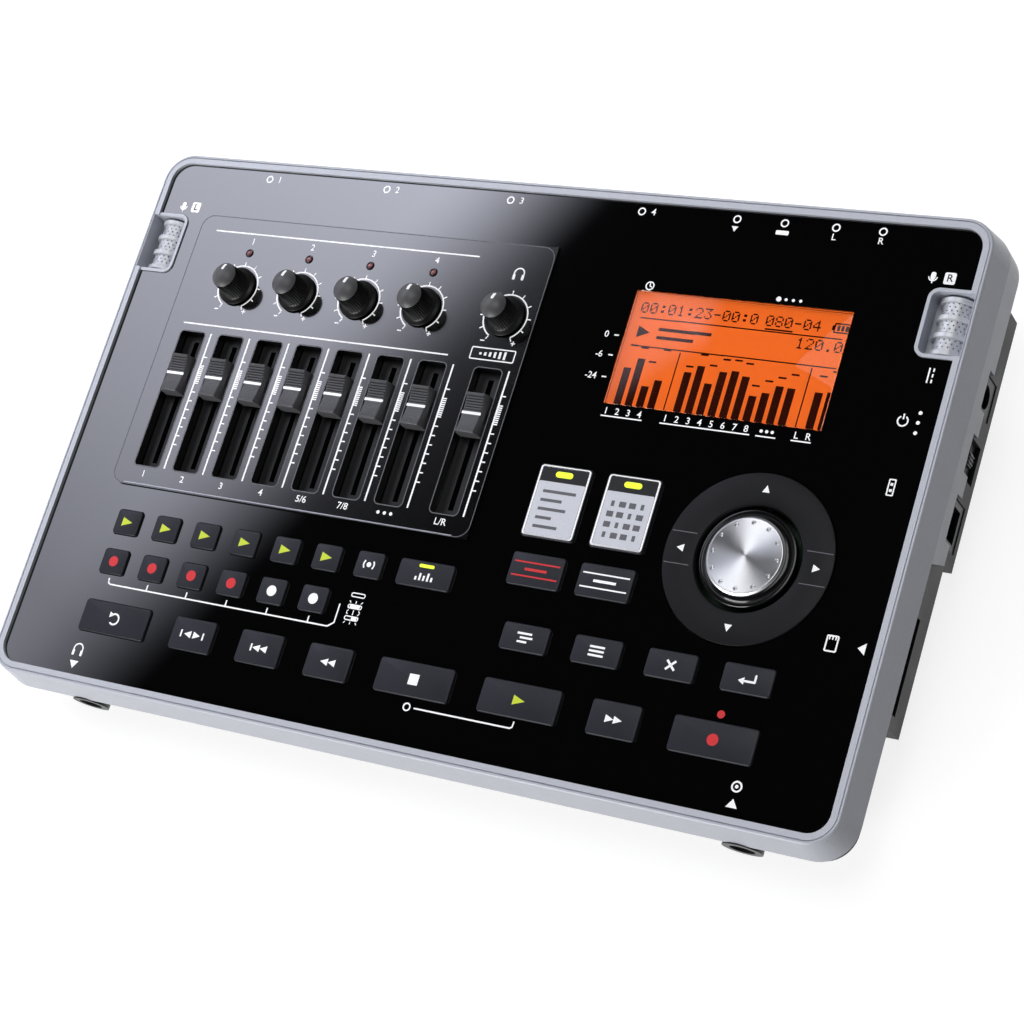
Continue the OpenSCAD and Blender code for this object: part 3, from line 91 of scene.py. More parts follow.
class NodeBoard:
    """A material's node tree with a few short moves to fill it."""

    def __init__(self, name: str) -> None:
        """Start an empty material.

        Args:
            name: name of the material.
        """
        self.material = bpy.data.materials.new(name)
        self.material.use_nodes = True
        self.tree = self.material.node_tree
        self.tree.nodes.clear()
        self.output = self.add("OutputMaterial")
        self.shader = self.add("BsdfPrincipled")
        self.link(self.shader.outputs["BSDF"], self.output.inputs["Surface"])

    def add(self, kind: str, **inputs: object) -> bpy.types.Node:
        """Add a node and set its sockets.

        Args:
            kind: the node's class, without its ShaderNode prefix.
            inputs: socket values, with underscores for the spaces in a socket's name.

        Returns:
            The new node.
        """
        node = self.tree.nodes.new("ShaderNode" + kind)
        for name, value in inputs.items():
            node.inputs[name.replace("_", " ")].default_value = value
        return node

    def link(self, source: Socket, target: Socket) -> None:
        """Join an output to an input."""
        self.tree.links.new(source, target)

    def place(self, turn: float = 0.0, origin: Point = (0.0, 0.0)) -> Socket:
        """Give object coordinates, turned and centred on a plane.

        Args:
            turn: slope of the plane in degrees.
            origin: y and z of the plane's origin in metres.

        Returns:
            The coordinate socket.
        """
        coordinates = self.add("TexCoord")
        if not turn:
            return coordinates.outputs["Object"]
        mapping = self.add("Mapping")
        mapping.vector_type = "TEXTURE"
        mapping.inputs["Location"].default_value = (0.0, *origin)
        mapping.inputs["Rotation"].default_value = (math.radians(turn), 0.0, 0.0)
        self.link(coordinates.outputs["Object"], mapping.inputs["Vector"])
        return mapping.outputs["Vector"]

    def noise(self, place: Socket, size: float, detail: float = 2.0) -> Socket:
        """Add a noise of a given grain.

        Args:
            place: coordinate socket that the noise reads.
            size: size of a grain in millimetres.
            detail: how many finer layers it has.

        Returns:
            The noise's value, from 0 to 1.
        """
        texture = self.add("TexNoise", Scale=1.0 / (size * MM), Detail=detail)
        self.link(place, texture.inputs["Vector"])
        return texture.outputs["Fac"]

    def blend(self, factor: Socket, low: Colour, high: Colour, span: Point) -> Socket:
        """Turn a value into a colour between two shades.

        Args:
            factor: the value.
            low: shade at the start of the span.
            high: shade at the end of the span.
            span: the values where the change starts and ends.

        Returns:
            The colour socket.
        """
        return self.ramp(factor, ((span[0], low), (span[1], high)))

    def ramp(self, factor: Socket, stops: Sequence[tuple[float, Colour]], shape: str = "LINEAR") -> Socket:
        """Turn a value into a colour along a row of shades.

        Args:
            factor: the value.
            stops: the values where a shade is reached, with the shades.
            shape: how one shade goes over into the next.

        Returns:
            The colour socket.
        """
        node = self.add("ValToRGB")
        node.color_ramp.interpolation = shape
        spots = node.color_ramp.elements
        for place, _ in stops[1:-1]:
            spots.new(place)
        for spot, (place, colour) in zip(spots, stops):
            spot.position = place
            spot.color = (*colour, 1.0)
        self.link(factor, node.inputs["Fac"])
        return node.outputs["Color"]

    def spread(self, factor: Socket, low: float, high: float) -> Socket:
        """Turn a noise into a number between two values.

        Args:
            factor: the noise.
            low: value at the noise's dark end.
            high: value at its bright end.

        Returns:
            The number's socket.
        """
        scale = self.add("MapRange", From_Min=0.3, From_Max=0.7, To_Min=low, To_Max=high)
        self.link(factor, scale.inputs["Value"])
        return scale.outputs["Result"]

    def bump(self, height: Socket, depth: float) -> None:
        """Give the surface a fine relief.

        Args:
            height: the relief's shape.
            depth: its depth in millimetres.
        """
        node = self.add("Bump", Strength=1.0, Distance=depth * MM)
        self.link(height, node.inputs["Height"])
        self.link(node.outputs["Normal"], self.shader.inputs["Normal"])

    def rays(self, *kinds: str) -> Socket:
        """Tell rays of some kinds from the rest.

        Args:
            kinds: outputs of the light path.

        Returns:
            A socket that is 1 for such a ray.
        """
        path = self.add("LightPath")
        socket = path.outputs[kinds[0]]
        for kind in kinds[1:]:
            larger = self.add("Math")
            larger.operation = "MAXIMUM"
            self.link(socket, larger.inputs[0])
            self.link(path.outputs[kind], larger.inputs[1])
            socket = larger.outputs["Value"]
        return socket

    def either(self, factor: Socket, first: Socket, second: Socket) -> Socket:
        """Mix two shaders.

        Args:
            factor: share of the second one.
            first: the first shader.
            second: the second shader.

        Returns:
            The mixed shader.
        """
        mix = self.add("MixShader")
        for target, source in zip(mix.inputs, (factor, first, second)):
            self.link(source, target)
        return mix.outputs["Shader"]


class WorldBoard(NodeBoard):
    """The world's node tree."""

    def __init__(self, name: str) -> None:
        """Start an empty world and use it.

        Args:
            name: name of the world.
        """
        world = bpy.data.worlds.new(name)
        world.use_nodes = True
        bpy.context.scene.world = world
        self.tree = world.node_tree
        self.tree.nodes.clear()
        self.output = self.add("OutputWorld")


def shade(colour: Colour, share: float) -> Colour:
    """Return a colour made lighter or darker by a share of itself."""
    return tuple(min(1.0, channel * (1.0 + share)) for channel in colour)


MADE: dict[str, bpy.types.Material] = {}


@dataclass(frozen=True)
class Finish:
    """A surface: colour, speckle, gloss and fine relief, all from noises in real sizes."""

    name: str
    colour: Colour
    rough: float = 0.4
    metal: float = 0.0
    ior: float = 1.5
    coat: float = 0.0
    speckle: float = 0.12
    grain: float = 0.3
    relief: float = 0.0
    glow: float = 0.0
    clear: float = 0.0
    spun: float = 0.0

    def material(self) -> bpy.types.Material:
        """Give the finish's material, made on its first use.

        Returns:
            The material.
        """
        if self.name not in MADE:
            MADE[self.name] = self.mix()
        return MADE[self.name]

    def mix(self) -> bpy.types.Material:
        """Build the node tree of the finish.

        Returns:
            The new material.
        """
        board = NodeBoard(self.name)
        place = board.place()
        fine = board.noise(place, self.grain)
        broad = board.noise(place, self.grain * 40.0, 3.0)
        dark, light = shade(self.colour, -self.speckle), shade(self.colour, self.speckle)
        colour = board.blend(fine, dark, light, (0.3, 0.7))
        shader = board.shader
        board.link(colour, shader.inputs["Base Color"])
        board.link(board.spread(broad, self.rough * 0.9, self.rough * 1.1), shader.inputs["Roughness"])
        shader.inputs["Metallic"].default_value = self.metal
        shader.inputs["IOR"].default_value = self.ior
        shader.inputs["Coat Weight"].default_value = self.coat
        shader.inputs["Transmission Weight"].default_value = self.clear
        if self.glow:
            board.link(colour, shader.inputs["Emission Color"])
            shader.inputs["Emission Strength"].default_value = self.glow
        if self.spun:
            shader.inputs["Anisotropic"].default_value = self.spun
            tangent = board.add("Tangent")
            tangent.direction_type = "RADIAL"
            tangent.axis = "Z"
            board.link(tangent.outputs["Tangent"], shader.inputs["Tangent"])
        if self.relief:
            board.bump(fine, self.relief)
        return board.material


@dataclass(frozen=True)
class PanelFinish(Finish):
    """The gloss panel, whose raised mixer field has a softer polish."""

    field_rough: float = 0.14
    field_low: float = 0.3

    def mix(self) -> bpy.types.Material:
        """Build the gloss finish with the field's softer polish above a small height.

        Returns:
            The new material.
        """
        board = NodeBoard(self.name)
        place = board.place(PANEL.tilt, (PANEL.y * MM, PANEL.z * MM))
        fine = board.noise(place, self.grain)
        split = board.add("SeparateXYZ")
        board.link(place, split.inputs["Vector"])
        height = board.add("MapRange", From_Min=0.0, From_Max=self.field_low * MM, To_Max=self.field_rough)
        height.inputs["To Min"].default_value = self.rough
        board.link(split.outputs["Z"], height.inputs["Value"])
        shader = board.shader
        board.link(height.outputs["Result"], shader.inputs["Roughness"])
        dust = board.blend(fine, self.colour, shade(self.colour, 1.0), (0.55, 0.8))
        board.link(dust, shader.inputs["Base Color"])
        shader.inputs["IOR"].default_value = self.ior
        shader.inputs["Coat Weight"].default_value = self.coat
        shader.inputs["Coat Roughness"].default_value = self.rough
        shader.inputs["Coat IOR"].default_value = self.ior
        return board.material


@dataclass(frozen=True)
class DisplayFinish(Finish):
    """The lit display: an even glow behind a fine grid of dots."""

    dot: float = 0.43

    def mix(self) -> bpy.types.Material:
        """Build the glow with the faint lines between its dots.

        Returns:
            The new material.
        """
        board = NodeBoard(self.name)
        place = board.place(PANEL.tilt, (PANEL.y * MM, PANEL.z * MM))
        dots = board.add("TexBrick", Scale=1.0, Mortar_Size=0.035 * MM, Brick_Width=self.dot * MM)
        dots.inputs["Row Height"].default_value = self.dot * MM
        dots.offset = 0.0
        for name, share in (("Color1", 0.0), ("Color2", 0.04), ("Mortar", -0.14)):
            dots.inputs[name].default_value = (*shade(self.colour, share), 1.0)
        board.link(place, dots.inputs["Vector"])
        shader = board.shader
        board.link(dots.outputs["Color"], shader.inputs["Base Color"])
        board.link(dots.outputs["Color"], shader.inputs["Emission Color"])
        shader.inputs["Emission Strength"].default_value = self.glow
        shader.inputs["IOR"].default_value = self.ior
        board.link(board.spread(board.noise(place, 6.0), 0.35, 0.5), shader.inputs["Roughness"])
        return board.material


SILVER_PAINT = Finish(
    "silver_paint", (0.56, 0.58, 0.64), 0.36, 0.08, ior=1.36, speckle=0.16, grain=0.12, relief=0.004)
CASE_BLACK = Finish("case_black", (0.016, 0.016, 0.018), 0.55, speckle=0.3, grain=0.35, relief=0.03)
PANEL_GLOSS = PanelFinish("panel_gloss", (0.0009, 0.0009, 0.0011), 0.035, ior=1.6, coat=1.0, grain=0.6)
WINDOW_CLEAR = Finish("window_clear", (1.0, 0.98, 0.96), 0.02, ior=1.3, clear=1.0, speckle=0.0, grain=3.0)
DISPLAY_ORANGE = DisplayFinish("display_orange", (0.72, 0.125, 0.017), ior=1.05, glow=0.7)
DISPLAY_DARK = Finish("display_dark", (0.05, 0.008, 0.004), 0.6, ior=1.05, speckle=0.2, grain=0.2)
BOARD_GREEN = Finish("board_green", (0.008, 0.05, 0.022), 0.35, coat=0.4, speckle=0.25, grain=0.8)
POT_BODY = Finish("pot_body", (0.003, 0.003, 0.0035), 0.5, speckle=0.25, grain=0.4)
SOCKET_BLACK = Finish("socket_black", (0.018, 0.018, 0.02), 0.4, speckle=0.25, grain=0.3, relief=0.01)
GRILLE_METAL = Finish("grille_metal", (0.72, 0.73, 0.77), 0.42, 0.35, speckle=0.1, grain=0.15)
FOOT_RUBBER = Finish("foot_rubber", (0.012, 0.012, 0.012), 0.75, speckle=0.35, grain=0.3, relief=0.03)
SCREW_STEEL = Finish("screw_steel", (0.16, 0.16, 0.165), 0.35, 1.0, speckle=0.15, grain=0.2)
CELL_JACKET = Finish("cell_jacket", (0.3, 0.28, 0.2), 0.3, 0.6, speckle=0.1, grain=1.0)
GIMBAL_WHITE = Finish("gimbal_white", (0.7, 0.7, 0.68), 0.45, speckle=0.06, grain=0.8)
RING_BLACK = Finish(
    "ring_black", (0.0045, 0.0045, 0.006), 0.5, ior=1.35, speckle=0.22, grain=0.25, relief=0.004)
SKIRT_BLACK = Finish("skirt_black", (0.006, 0.006, 0.007), 0.16, speckle=0.2, grain=0.4)
DIAL_METAL = Finish("dial_metal", (0.86, 0.87, 0.89), 0.32, 1.0, speckle=0.05, grain=0.1, spun=0.8)
KEY_CHARCOAL = Finish(
    "key_charcoal", (0.0155, 0.0165, 0.0235), 0.45, ior=1.42, speckle=0.32, grain=0.22, relief=0.008)
PAD_SILVER = Finish("pad_silver", (0.68, 0.7, 0.76), 0.38, 0.1, speckle=0.07, grain=0.25, relief=0.004)
KNOB_BLACK = Finish(
    "knob_black", (0.005, 0.005, 0.0055), 0.36, ior=1.4, speckle=0.25, grain=0.25, relief=0.006)
KNOB_TOP = Finish("knob_top", (0.085, 0.085, 0.09), 0.4, speckle=0.12, grain=0.2, relief=0.004)
FADER_GREY = Finish("fader_grey", (0.09, 0.09, 0.098), 0.4, speckle=0.12, grain=0.2, relief=0.005)
# White print, with a faint painted glow (emission 0.2) that lifts the ink above what the lamps give it.
INK_WHITE_PAINTED_GLOW = Finish("ink_white", (0.95, 0.95, 0.96), 0.5, coat=1.0, speckle=0.03, grain=0.15, glow=0.2)
INK_BLACK = Finish("ink_black", (0.008, 0.008, 0.009), 0.35, speckle=0.2, grain=0.2)
INK_GREY = Finish("ink_grey", (0.13, 0.13, 0.145), 0.45, speckle=0.1, grain=0.15)
# Painted highlight: a light metallic strip for the light caught by the mixer field's front bevel.
PAINTED_EDGE_HIGHLIGHT = Finish("edge_light", (0.5, 0.51, 0.56), 0.3, 0.4, speckle=0.06, grain=0.2)
INK_RED = Finish("ink_red", (0.72, 0.025, 0.03), 0.45, speckle=0.08, grain=0.15)
INK_LIME = Finish("ink_lime", (0.66, 0.78, 0.04), 0.45, speckle=0.06, grain=0.15)
LAMP_LIME = Finish("lamp_lime", (0.66, 0.82, 0.05), 0.2, glow=0.7, coat=0.5, speckle=0.05, grain=0.6)
LAMP_RED = Finish("lamp_red", (0.36, 0.12, 0.13), 0.25, coat=0.6, speckle=0.25, grain=0.5)


def start_clean() -> None:
    """Leave every object unselected, in object mode."""
    if bpy.context.object and bpy.context.object.mode != "OBJECT":
        bpy.ops.object.mode_set(mode="OBJECT")
    bpy.ops.object.select_all(action="DESELECT")


class Workpiece:
    """A primitive on the bench that moves in edit mode turn into a finished piece."""

    CORNER_STEPS = 6
    SMOOTH = math.radians(32.0)

    def __init__(self, name: str) -> None:
        """Take the primitive that was just added into edit mode.

        Args:
            name: name of the piece.
        """
        self.obj = bpy.context.object
        self.obj.name = name
        self.obj.data.name = name
        bpy.ops.object.mode_set(mode="EDIT")

    @classmethod
    def plate(cls, name: str, w: float, d: float, r: float, z: float = 0.0) -> "Workpiece":
        """Start from a flat outline with round corners.

        Args:
            name: name of the piece.
            w: width.
            d: depth.
            r: corner radius, or 0 for square corners.
            z: height of the outline.

        Returns:
            The piece, with its face selected.
        """
        start_clean()
        bpy.ops.mesh.primitive_plane_add(size=1.0)
        piece = cls(name)
        bpy.ops.transform.resize(value=(w, d, 1.0), center_override=(0.0, 0.0, 0.0))
        if r > 0.0:
            bpy.ops.mesh.bevel(offset=r, segments=cls.CORNER_STEPS, affect="VERTICES")
        bpy.ops.transform.translate(value=(0.0, 0.0, z))
        return piece

    @classmethod
    def blank(cls, name: str) -> "Workpiece":
        """Start from nothing, so that only what is added next remains.

        Args:
            name: name of the piece.

        Returns:
            The empty piece.
        """
        start_clean()
        bpy.ops.mesh.primitive_plane_add(size=1.0)
        piece = cls(name)
        bpy.ops.mesh.select_all(action="SELECT")
        bpy.ops.mesh.delete(type="VERT")
        return piece

    @classmethod
    def grid(cls, name: str, columns: int, rows: int) -> "Workpiece":
        """Start from a flat grid of one unit each way.

        Args:
            name: name of the piece.
            columns: faces from left to right.
            rows: faces from front to rear.

        Returns:
            The piece, all selected.
        """
        start_clean()
        bpy.ops.mesh.primitive_grid_add(x_subdivisions=columns, y_subdivisions=rows, size=1.0)
        return cls(name)

    @classmethod
    def turned(cls, name: str, profile: Sequence[Point], sides: int = 64) -> "Workpiece":
        """Pull a disc up through rings of a profile.

        Args:
            name: name of the piece.
            profile: radius and height of each ring, from the underside to the top.
            sides: corners of the disc.

        Returns:
            The piece, with its top face selected.
        """
        start_clean()
        bpy.ops.mesh.primitive_circle_add(vertices=sides, radius=profile[0][0], fill_type="NGON")
        piece = cls(name)
        piece.follow(profile)
        return piece

    @classmethod
    def hoop(cls, name: str, profile: Sequence[Point], sides: int = 128) -> "Workpiece":
        """Pull an open circle through rings of a closed profile and join its ends.

        Args:
            name: name of the piece.
            profile: radius and height of each ring, in order round the section.
            sides: corners of the circle.

        Returns:
            The piece.
        """
        start_clean()
        bpy.ops.mesh.primitive_circle_add(vertices=sides, radius=profile[0][0], fill_type="NOTHING")
        piece = cls(name)
        bpy.ops.mesh.select_mode(type="EDGE")
        piece.follow(profile)
        bpy.ops.mesh.select_all(action="DESELECT")
        bpy.ops.mesh.select_non_manifold()
        bpy.ops.mesh.bridge_edge_loops()
        return piece

    def follow(self, profile: Sequence[Point]) -> None:
        """Pull the selected ring through a profile.

        Args:
            profile: radius and height of each ring.
        """
        radius, height = profile[0]
        bpy.ops.transform.translate(value=(0.0, 0.0, height))
        for next_radius, next_height in profile[1:]:
            self.pull(next_height - height)
            ratio = next_radius / radius
            bpy.ops.transform.resize(value=(ratio, ratio, 1.0), center_override=(0.0, 0.0, next_height))
            radius, height = next_radius, next_height

    def pull(self, rise: float) -> None:
        """Extrude the selection upwards."""
        bpy.ops.mesh.extrude_region_move(TRANSFORM_OT_translate={"value": (0.0, 0.0, rise)})

    def narrow(self, x: float, y: float) -> None:
        """Scale the selection about the piece's middle."""
        bpy.ops.transform.resize(value=(x, y, 1.0), center_override=(0.0, 0.0, 0.0))

    def inset(self, width: float) -> None:
        """Step the selected face in from its border."""
        bpy.ops.mesh.inset(thickness=width)

    def round_border(self, width: float, steps: int = 3) -> None:
        """Round the border of the selected face."""
        bpy.ops.mesh.region_to_loop()
        bpy.ops.mesh.bevel(offset=width, segments=steps, affect="EDGES")

    def rod(self, x: float, y: float, r: float, z0: float, z1: float, sides: int = 16) -> None:
        """Add an upright rod to the piece.

        Args:
            x: place of its axis, left to right.
            y: place of its axis, front to rear.
            r: radius.
            z0: height of its lower end.
            z1: height of its upper end.
            sides: corners of its circle.
        """
        bpy.ops.mesh.select_all(action="DESELECT")
        bpy.ops.mesh.primitive_circle_add(vertices=sides, radius=r, fill_type="NGON", location=(x, y, z0))
        self.pull(z1 - z0)

    def slab(self, x: float, y: float, w: float, d: float, z0: float, z1: float) -> None:
        """Add an upright block to the piece.

        Args:
            x: place of its middle, left to right.
            y: place of its middle, front to rear.
            w: width.
            d: depth.
            z0: height of its underside.
            z1: height of its top.
        """
        bpy.ops.mesh.select_all(action="DESELECT")
        bpy.ops.mesh.primitive_plane_add(size=1.0, location=(x, y, z0))
        bpy.ops.transform.resize(value=(w, d, 1.0), center_override=(x, y, z0))
        self.pull(z1 - z0)

    def pick(self, wanted: Callable[[Vector], bool]) -> None:
        """Select the points of the piece that lie where they are wanted.

        Args:
            wanted: test of a point's place.
        """
        bpy.ops.object.mode_set(mode="OBJECT")
        mesh = self.obj.data
        mesh.polygons.foreach_set("select", [False] * len(mesh.polygons))
        mesh.edges.foreach_set("select", [False] * len(mesh.edges))
        mesh.vertices.foreach_set("select", [wanted(point.co) for point in mesh.vertices])
        bpy.ops.object.mode_set(mode="EDIT")
        bpy.ops.mesh.select_mode(type="VERT")

    def done(self, merge: bool = True) -> bpy.types.Object:
        """Close the piece: merge doubles, turn its faces outwards and smooth its round stretches.

        Args:
            merge: whether points that coincide are joined.

        Returns:
            The finished object.
        """
        bpy.ops.mesh.select_all(action="SELECT")
        if merge:
            bpy.ops.mesh.remove_doubles(threshold=0.0005)
        bpy.ops.mesh.normals_make_consistent(inside=False)
        bpy.ops.object.mode_set(mode="OBJECT")
        smooth(self.obj)
        return self.obj


def smooth(obj: bpy.types.Object) -> None:
    """Smooth an object's round stretches and keep its corners.

    Args:
        obj: the object.
    """
    start_clean()
    obj.select_set(True)
    bpy.context.view_layer.objects.active = obj
    bpy.ops.object.shade_smooth_by_angle(angle=Workpiece.SMOOTH)


def apply_modifier(obj: bpy.types.Object, kind: str, **settings: object) -> None:
    """Add a modifier, set it and apply it.

    Args:
        obj: the object.
        kind: the modifier's type.
        settings: its properties.
    """
    start_clean()
    obj.select_set(True)
    bpy.context.view_layer.objects.active = obj
    modifier = obj.modifiers.new(kind.lower(), kind)
    for name, value in settings.items():
        setattr(modifier, name, value)
    bpy.ops.object.modifier_apply(modifier=modifier.name)


def break_edges(obj: bpy.types.Object, angle: float) -> None:
    """Round the corners that are sharper than an angle in degrees."""
    limit = math.radians(angle)
    apply_modifier(obj, "BEVEL", width=0.2, segments=2, limit_method="ANGLE", angle_limit=limit)


def cut(obj: bpy.types.Object, tool: bpy.types.Object) -> None:
    """Take a tool's shape away from an object and remove the tool.

    Args:
        obj: the object.
        tool: the closed shape that is taken away.
    """
    apply_modifier(obj, "BOOLEAN", operation="DIFFERENCE", solver="EXACT", object=tool)
    bpy.data.objects.remove(tool)
    smooth(obj)


def twin(obj: bpy.types.Object, name: str) -> bpy.types.Object:
    """Copy an object with its own mesh.

    Args:
        obj: the object.
        name: name of the copy.

    Returns:
        The copy.
    """
    copy = obj.copy()
    copy.data = obj.data.copy()
    copy.name = name
    copy.data.name = name
    bpy.context.collection.objects.link(copy)
    return copy


def drop(obj: bpy.types.Object) -> None:
    """Remove a pattern that copies were taken from."""
    bpy.data.objects.remove(obj)


def settle(
    obj: bpy.types.Object,
    body: str,
    finish: Finish,
    place: Matrix,
    nodes: Iterable[str] = (),
) -> bpy.types.Object:
    """Put a finished mesh in its place and let it ride on its body.

    Args:
        obj: the finished object, at the origin.
        body: name of the body that it moves with.
        finish: its surface.
        place: matrix from its own millimetres to the part's frame.
        nodes: solids that it stands for.

    Returns:
        The same object.
    """
    obj.data.transform(place)
    obj.data.update()
    obj.data.materials.clear()
    obj.data.materials.append(finish.material())
    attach(obj, body)
    for node in nodes:
        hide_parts(node)
    LOG.info("%s rides on %s", obj.name, body)
    return obj


def dress(node: str, finish: Finish) -> None:
    """Give a solid its finish.

    Args:
        node: name of the solid.
        finish: its surface.
    """
    obj = bpy.data.objects[node]
    obj.data.materials.clear()
    obj.data.materials.append(finish.material())
    LOG.info("%s dressed in %s", node, finish.name)


def shape_mark(middle: Sequence[float], size: Point, turn: float, pivot: Sequence[float]) -> None:
    """Scale the mark that was just added, and turn it.

    Args:
        middle: the point that it is scaled about.
        size: its width and depth.
        turn: turn to the left in degrees.
        pivot: the point that it is turned about.
    """
    bpy.ops.transform.resize(value=(*size, 1.0), center_override=middle)
    if turn:
        bpy.ops.transform.rotate(value=-math.radians(turn), orient_axis="Z", center_override=pivot)


@dataclass
class MarkSheet:
    """Printed marks of one colour on one body, drawn flat and then given the thickness of ink."""

    name: str
    body: str
    finish: Finish
    lift: float = 0.0
    slot: str = ""
    thick: float = 0.03
    shapes: list[Callable[[], None]] = field(default_factory=list)
    loose: list[bpy.types.Object] = field(default_factory=list)

    TRIANGLE = (math.sqrt(3.0), 1.5, 0.25)
    ARC_STEP = 7.5
    FIGURE_SHARE = 0.7
    FIGURE_WEIGHT = 0.022

    def bar(self, x: float, y: float, w: float, d: float, turn: float = 0.0) -> None:
        """Draw a bar round a middle.

        Args:
            x: middle, left to right.
            y: middle, front to rear.
            w: width.
            d: depth.
            turn: turn to the left in degrees.
        """
        def draw() -> None:
            """Add the bar to the sheet."""
            bpy.ops.mesh.primitive_plane_add(size=1.0, location=(x, y, 0.0))
            shape_mark((x, y, 0.0), (w, d), turn, (x, y, 0.0))

        self.shapes.append(draw)

    def disc(self, x: float, y: float, r: float, sides: int = 28) -> None:
        """Draw a filled circle."""
        self.shapes.append(lambda: bpy.ops.mesh.primitive_circle_add(
            vertices=sides, radius=r, fill_type="NGON", location=(x, y, 0.0)))

    def triangle(self, x: float, y: float, w: float, d: float, turn: float = 0.0) -> None:
        """Draw a triangle round a middle: it points to the rear, turned in degrees.

        Args:
            x: middle of its box, left to right.
            y: middle of its box, front to rear.
            w: width of its base.
            d: distance from base to point.
            turn: turn to the left in degrees.
        """
        base, tall, off = self.TRIANGLE
        spot = (x, y - off * d / tall, 0.0)

        def draw() -> None:
            """Add the triangle to the sheet."""
            bpy.ops.mesh.primitive_circle_add(vertices=3, radius=1.0, fill_type="NGON", location=spot)
            shape_mark(spot, (w / base, d / tall), turn, (x, y, 0.0))

        self.shapes.append(draw)

    def line(self, points: Sequence[Point], width: float) -> None:
        """Draw a line of straight stretches with round joints.

        Args:
            points: its corners.
            width: its width.
        """
        for (xa, ya), (xb, yb) in zip(points, points[1:]):
            turn = math.degrees(math.atan2(yb - ya, xb - xa))
            self.bar((xa + xb) / 2, (ya + yb) / 2, math.hypot(xb - xa, yb - ya), width, turn)
        for x, y in points:
            self.disc(x, y, width / 2, 12)

    def arc(self, x: float, y: float, r: float, width: float, start: float, sweep: float) -> None:
        """Draw part of a ring.

        Args:
            x: middle, left to right.
            y: middle, front to rear.
            r: radius at the middle of the line.
            width: width of the line.
            start: where it starts, in degrees to the left from the right.
            sweep: how far it goes on to the left, in degrees.
        """
        start_clean()
        bpy.ops.mesh.primitive_plane_add(size=1.0)
        piece = Workpiece(self.name + "_arc")
        bpy.ops.transform.resize(value=(width, 1.0, 1.0), center_override=(0.0, 0.0, 0.0))
        piece.pick(lambda spot: spot.y > 0.0)
        bpy.ops.mesh.delete(type="VERT")
        bpy.ops.mesh.select_all(action="SELECT")
        bpy.ops.transform.translate(value=(r, 0.5, 0.0))
        steps = max(3, round(abs(sweep) / self.ARC_STEP))
        turn = -math.radians(sweep)
        bpy.ops.mesh.spin(steps=steps, angle=turn, center=(0.0, 0.0, 0.0), axis=(0.0, 0.0, 1.0))
        bpy.ops.mesh.select_all(action="SELECT")
        bpy.ops.mesh.remove_doubles(threshold=0.001)
        bpy.ops.object.mode_set(mode="OBJECT")
        place = Matrix.Translation((x, y, 0.0)) @ Matrix.Rotation(math.radians(start), 4, "Z")
        piece.obj.data.transform(place)
        self.loose.append(piece.obj)

    def outline(self, x: float, y: float, w: float, d: float, r: float, width: float) -> None:
        """Draw the outline of a rectangle with round corners.

        Args:
            x: middle, left to right.
            y: middle, front to rear.
            w: outer width.
            d: outer depth.
            r: outer corner radius.
            width: width of the line.
        """
        piece = Workpiece.plate(self.name + "_outline", w, d, r)
        piece.inset(width)
        bpy.ops.mesh.delete(type="FACE")
        bpy.ops.object.mode_set(mode="OBJECT")
        piece.obj.data.transform(Matrix.Translation((x, y, 0.0)))
        self.loose.append(piece.obj)

    def patch(self, x: float, y: float, w: float, d: float, r: float) -> None:
        """Draw a filled rectangle with round corners.

        Args:
            x: middle, left to right.
            y: middle, front to rear.
            w: width.
            d: depth.
            r: corner radius.
        """
        piece = Workpiece.plate(self.name + "_patch", w, d, r)
        bpy.ops.object.mode_set(mode="OBJECT")
        piece.obj.data.transform(Matrix.Translation((x, y, 0.0)))
        self.loose.append(piece.obj)

    def figure(self, text: str, x: float, y: float, size: float) -> None:
        """Draw plain figures round a middle.

        Args:
            text: the figures.
            x: middle, left to right.
            y: middle, front to rear.
            size: height of a figure.
        """
        start_clean()
        bpy.ops.object.text_add()
        obj = bpy.context.object
        obj.data.body = text
        obj.data.size = size / self.FIGURE_SHARE
        obj.data.offset = self.FIGURE_WEIGHT
        obj.data.resolution_u = 3
        obj.data.align_x = "CENTER"
        obj.data.align_y = "CENTER"
        bpy.ops.object.convert(target="MESH")
        obj = bpy.context.object
        obj.data.transform(Matrix.Translation((x, y, 0.0)))
        self.loose.append(obj)

    def finished(self, place: Matrix | None = None) -> bpy.types.Object:
        """Draw everything, give it the ink's thickness and let it ride on its body.

        Args:
            place: matrix of the plane that it was drawn on, or the panel's.

        Returns:
            The finished object.
        """
        sheet = Workpiece.blank(self.name)
        for draw in self.shapes:
            draw()
        bpy.ops.object.mode_set(mode="OBJECT")
        if self.loose:
            for obj in self.loose:
                obj.select_set(True)
            sheet.obj.select_set(True)
            bpy.context.view_layer.objects.active = sheet.obj
            bpy.ops.object.join()
        bpy.ops.object.mode_set(mode="EDIT")
        bpy.ops.mesh.select_mode(type="FACE")
        bpy.ops.mesh.select_all(action="SELECT")
        sheet.pull(self.thick)
        obj = sheet.done(merge=False)
        lifted = (place or PANEL.matrix()) @ Matrix.Translation((0.0, 0.0, self.lift))
        return settle(obj, self.body, self.finish, lifted)


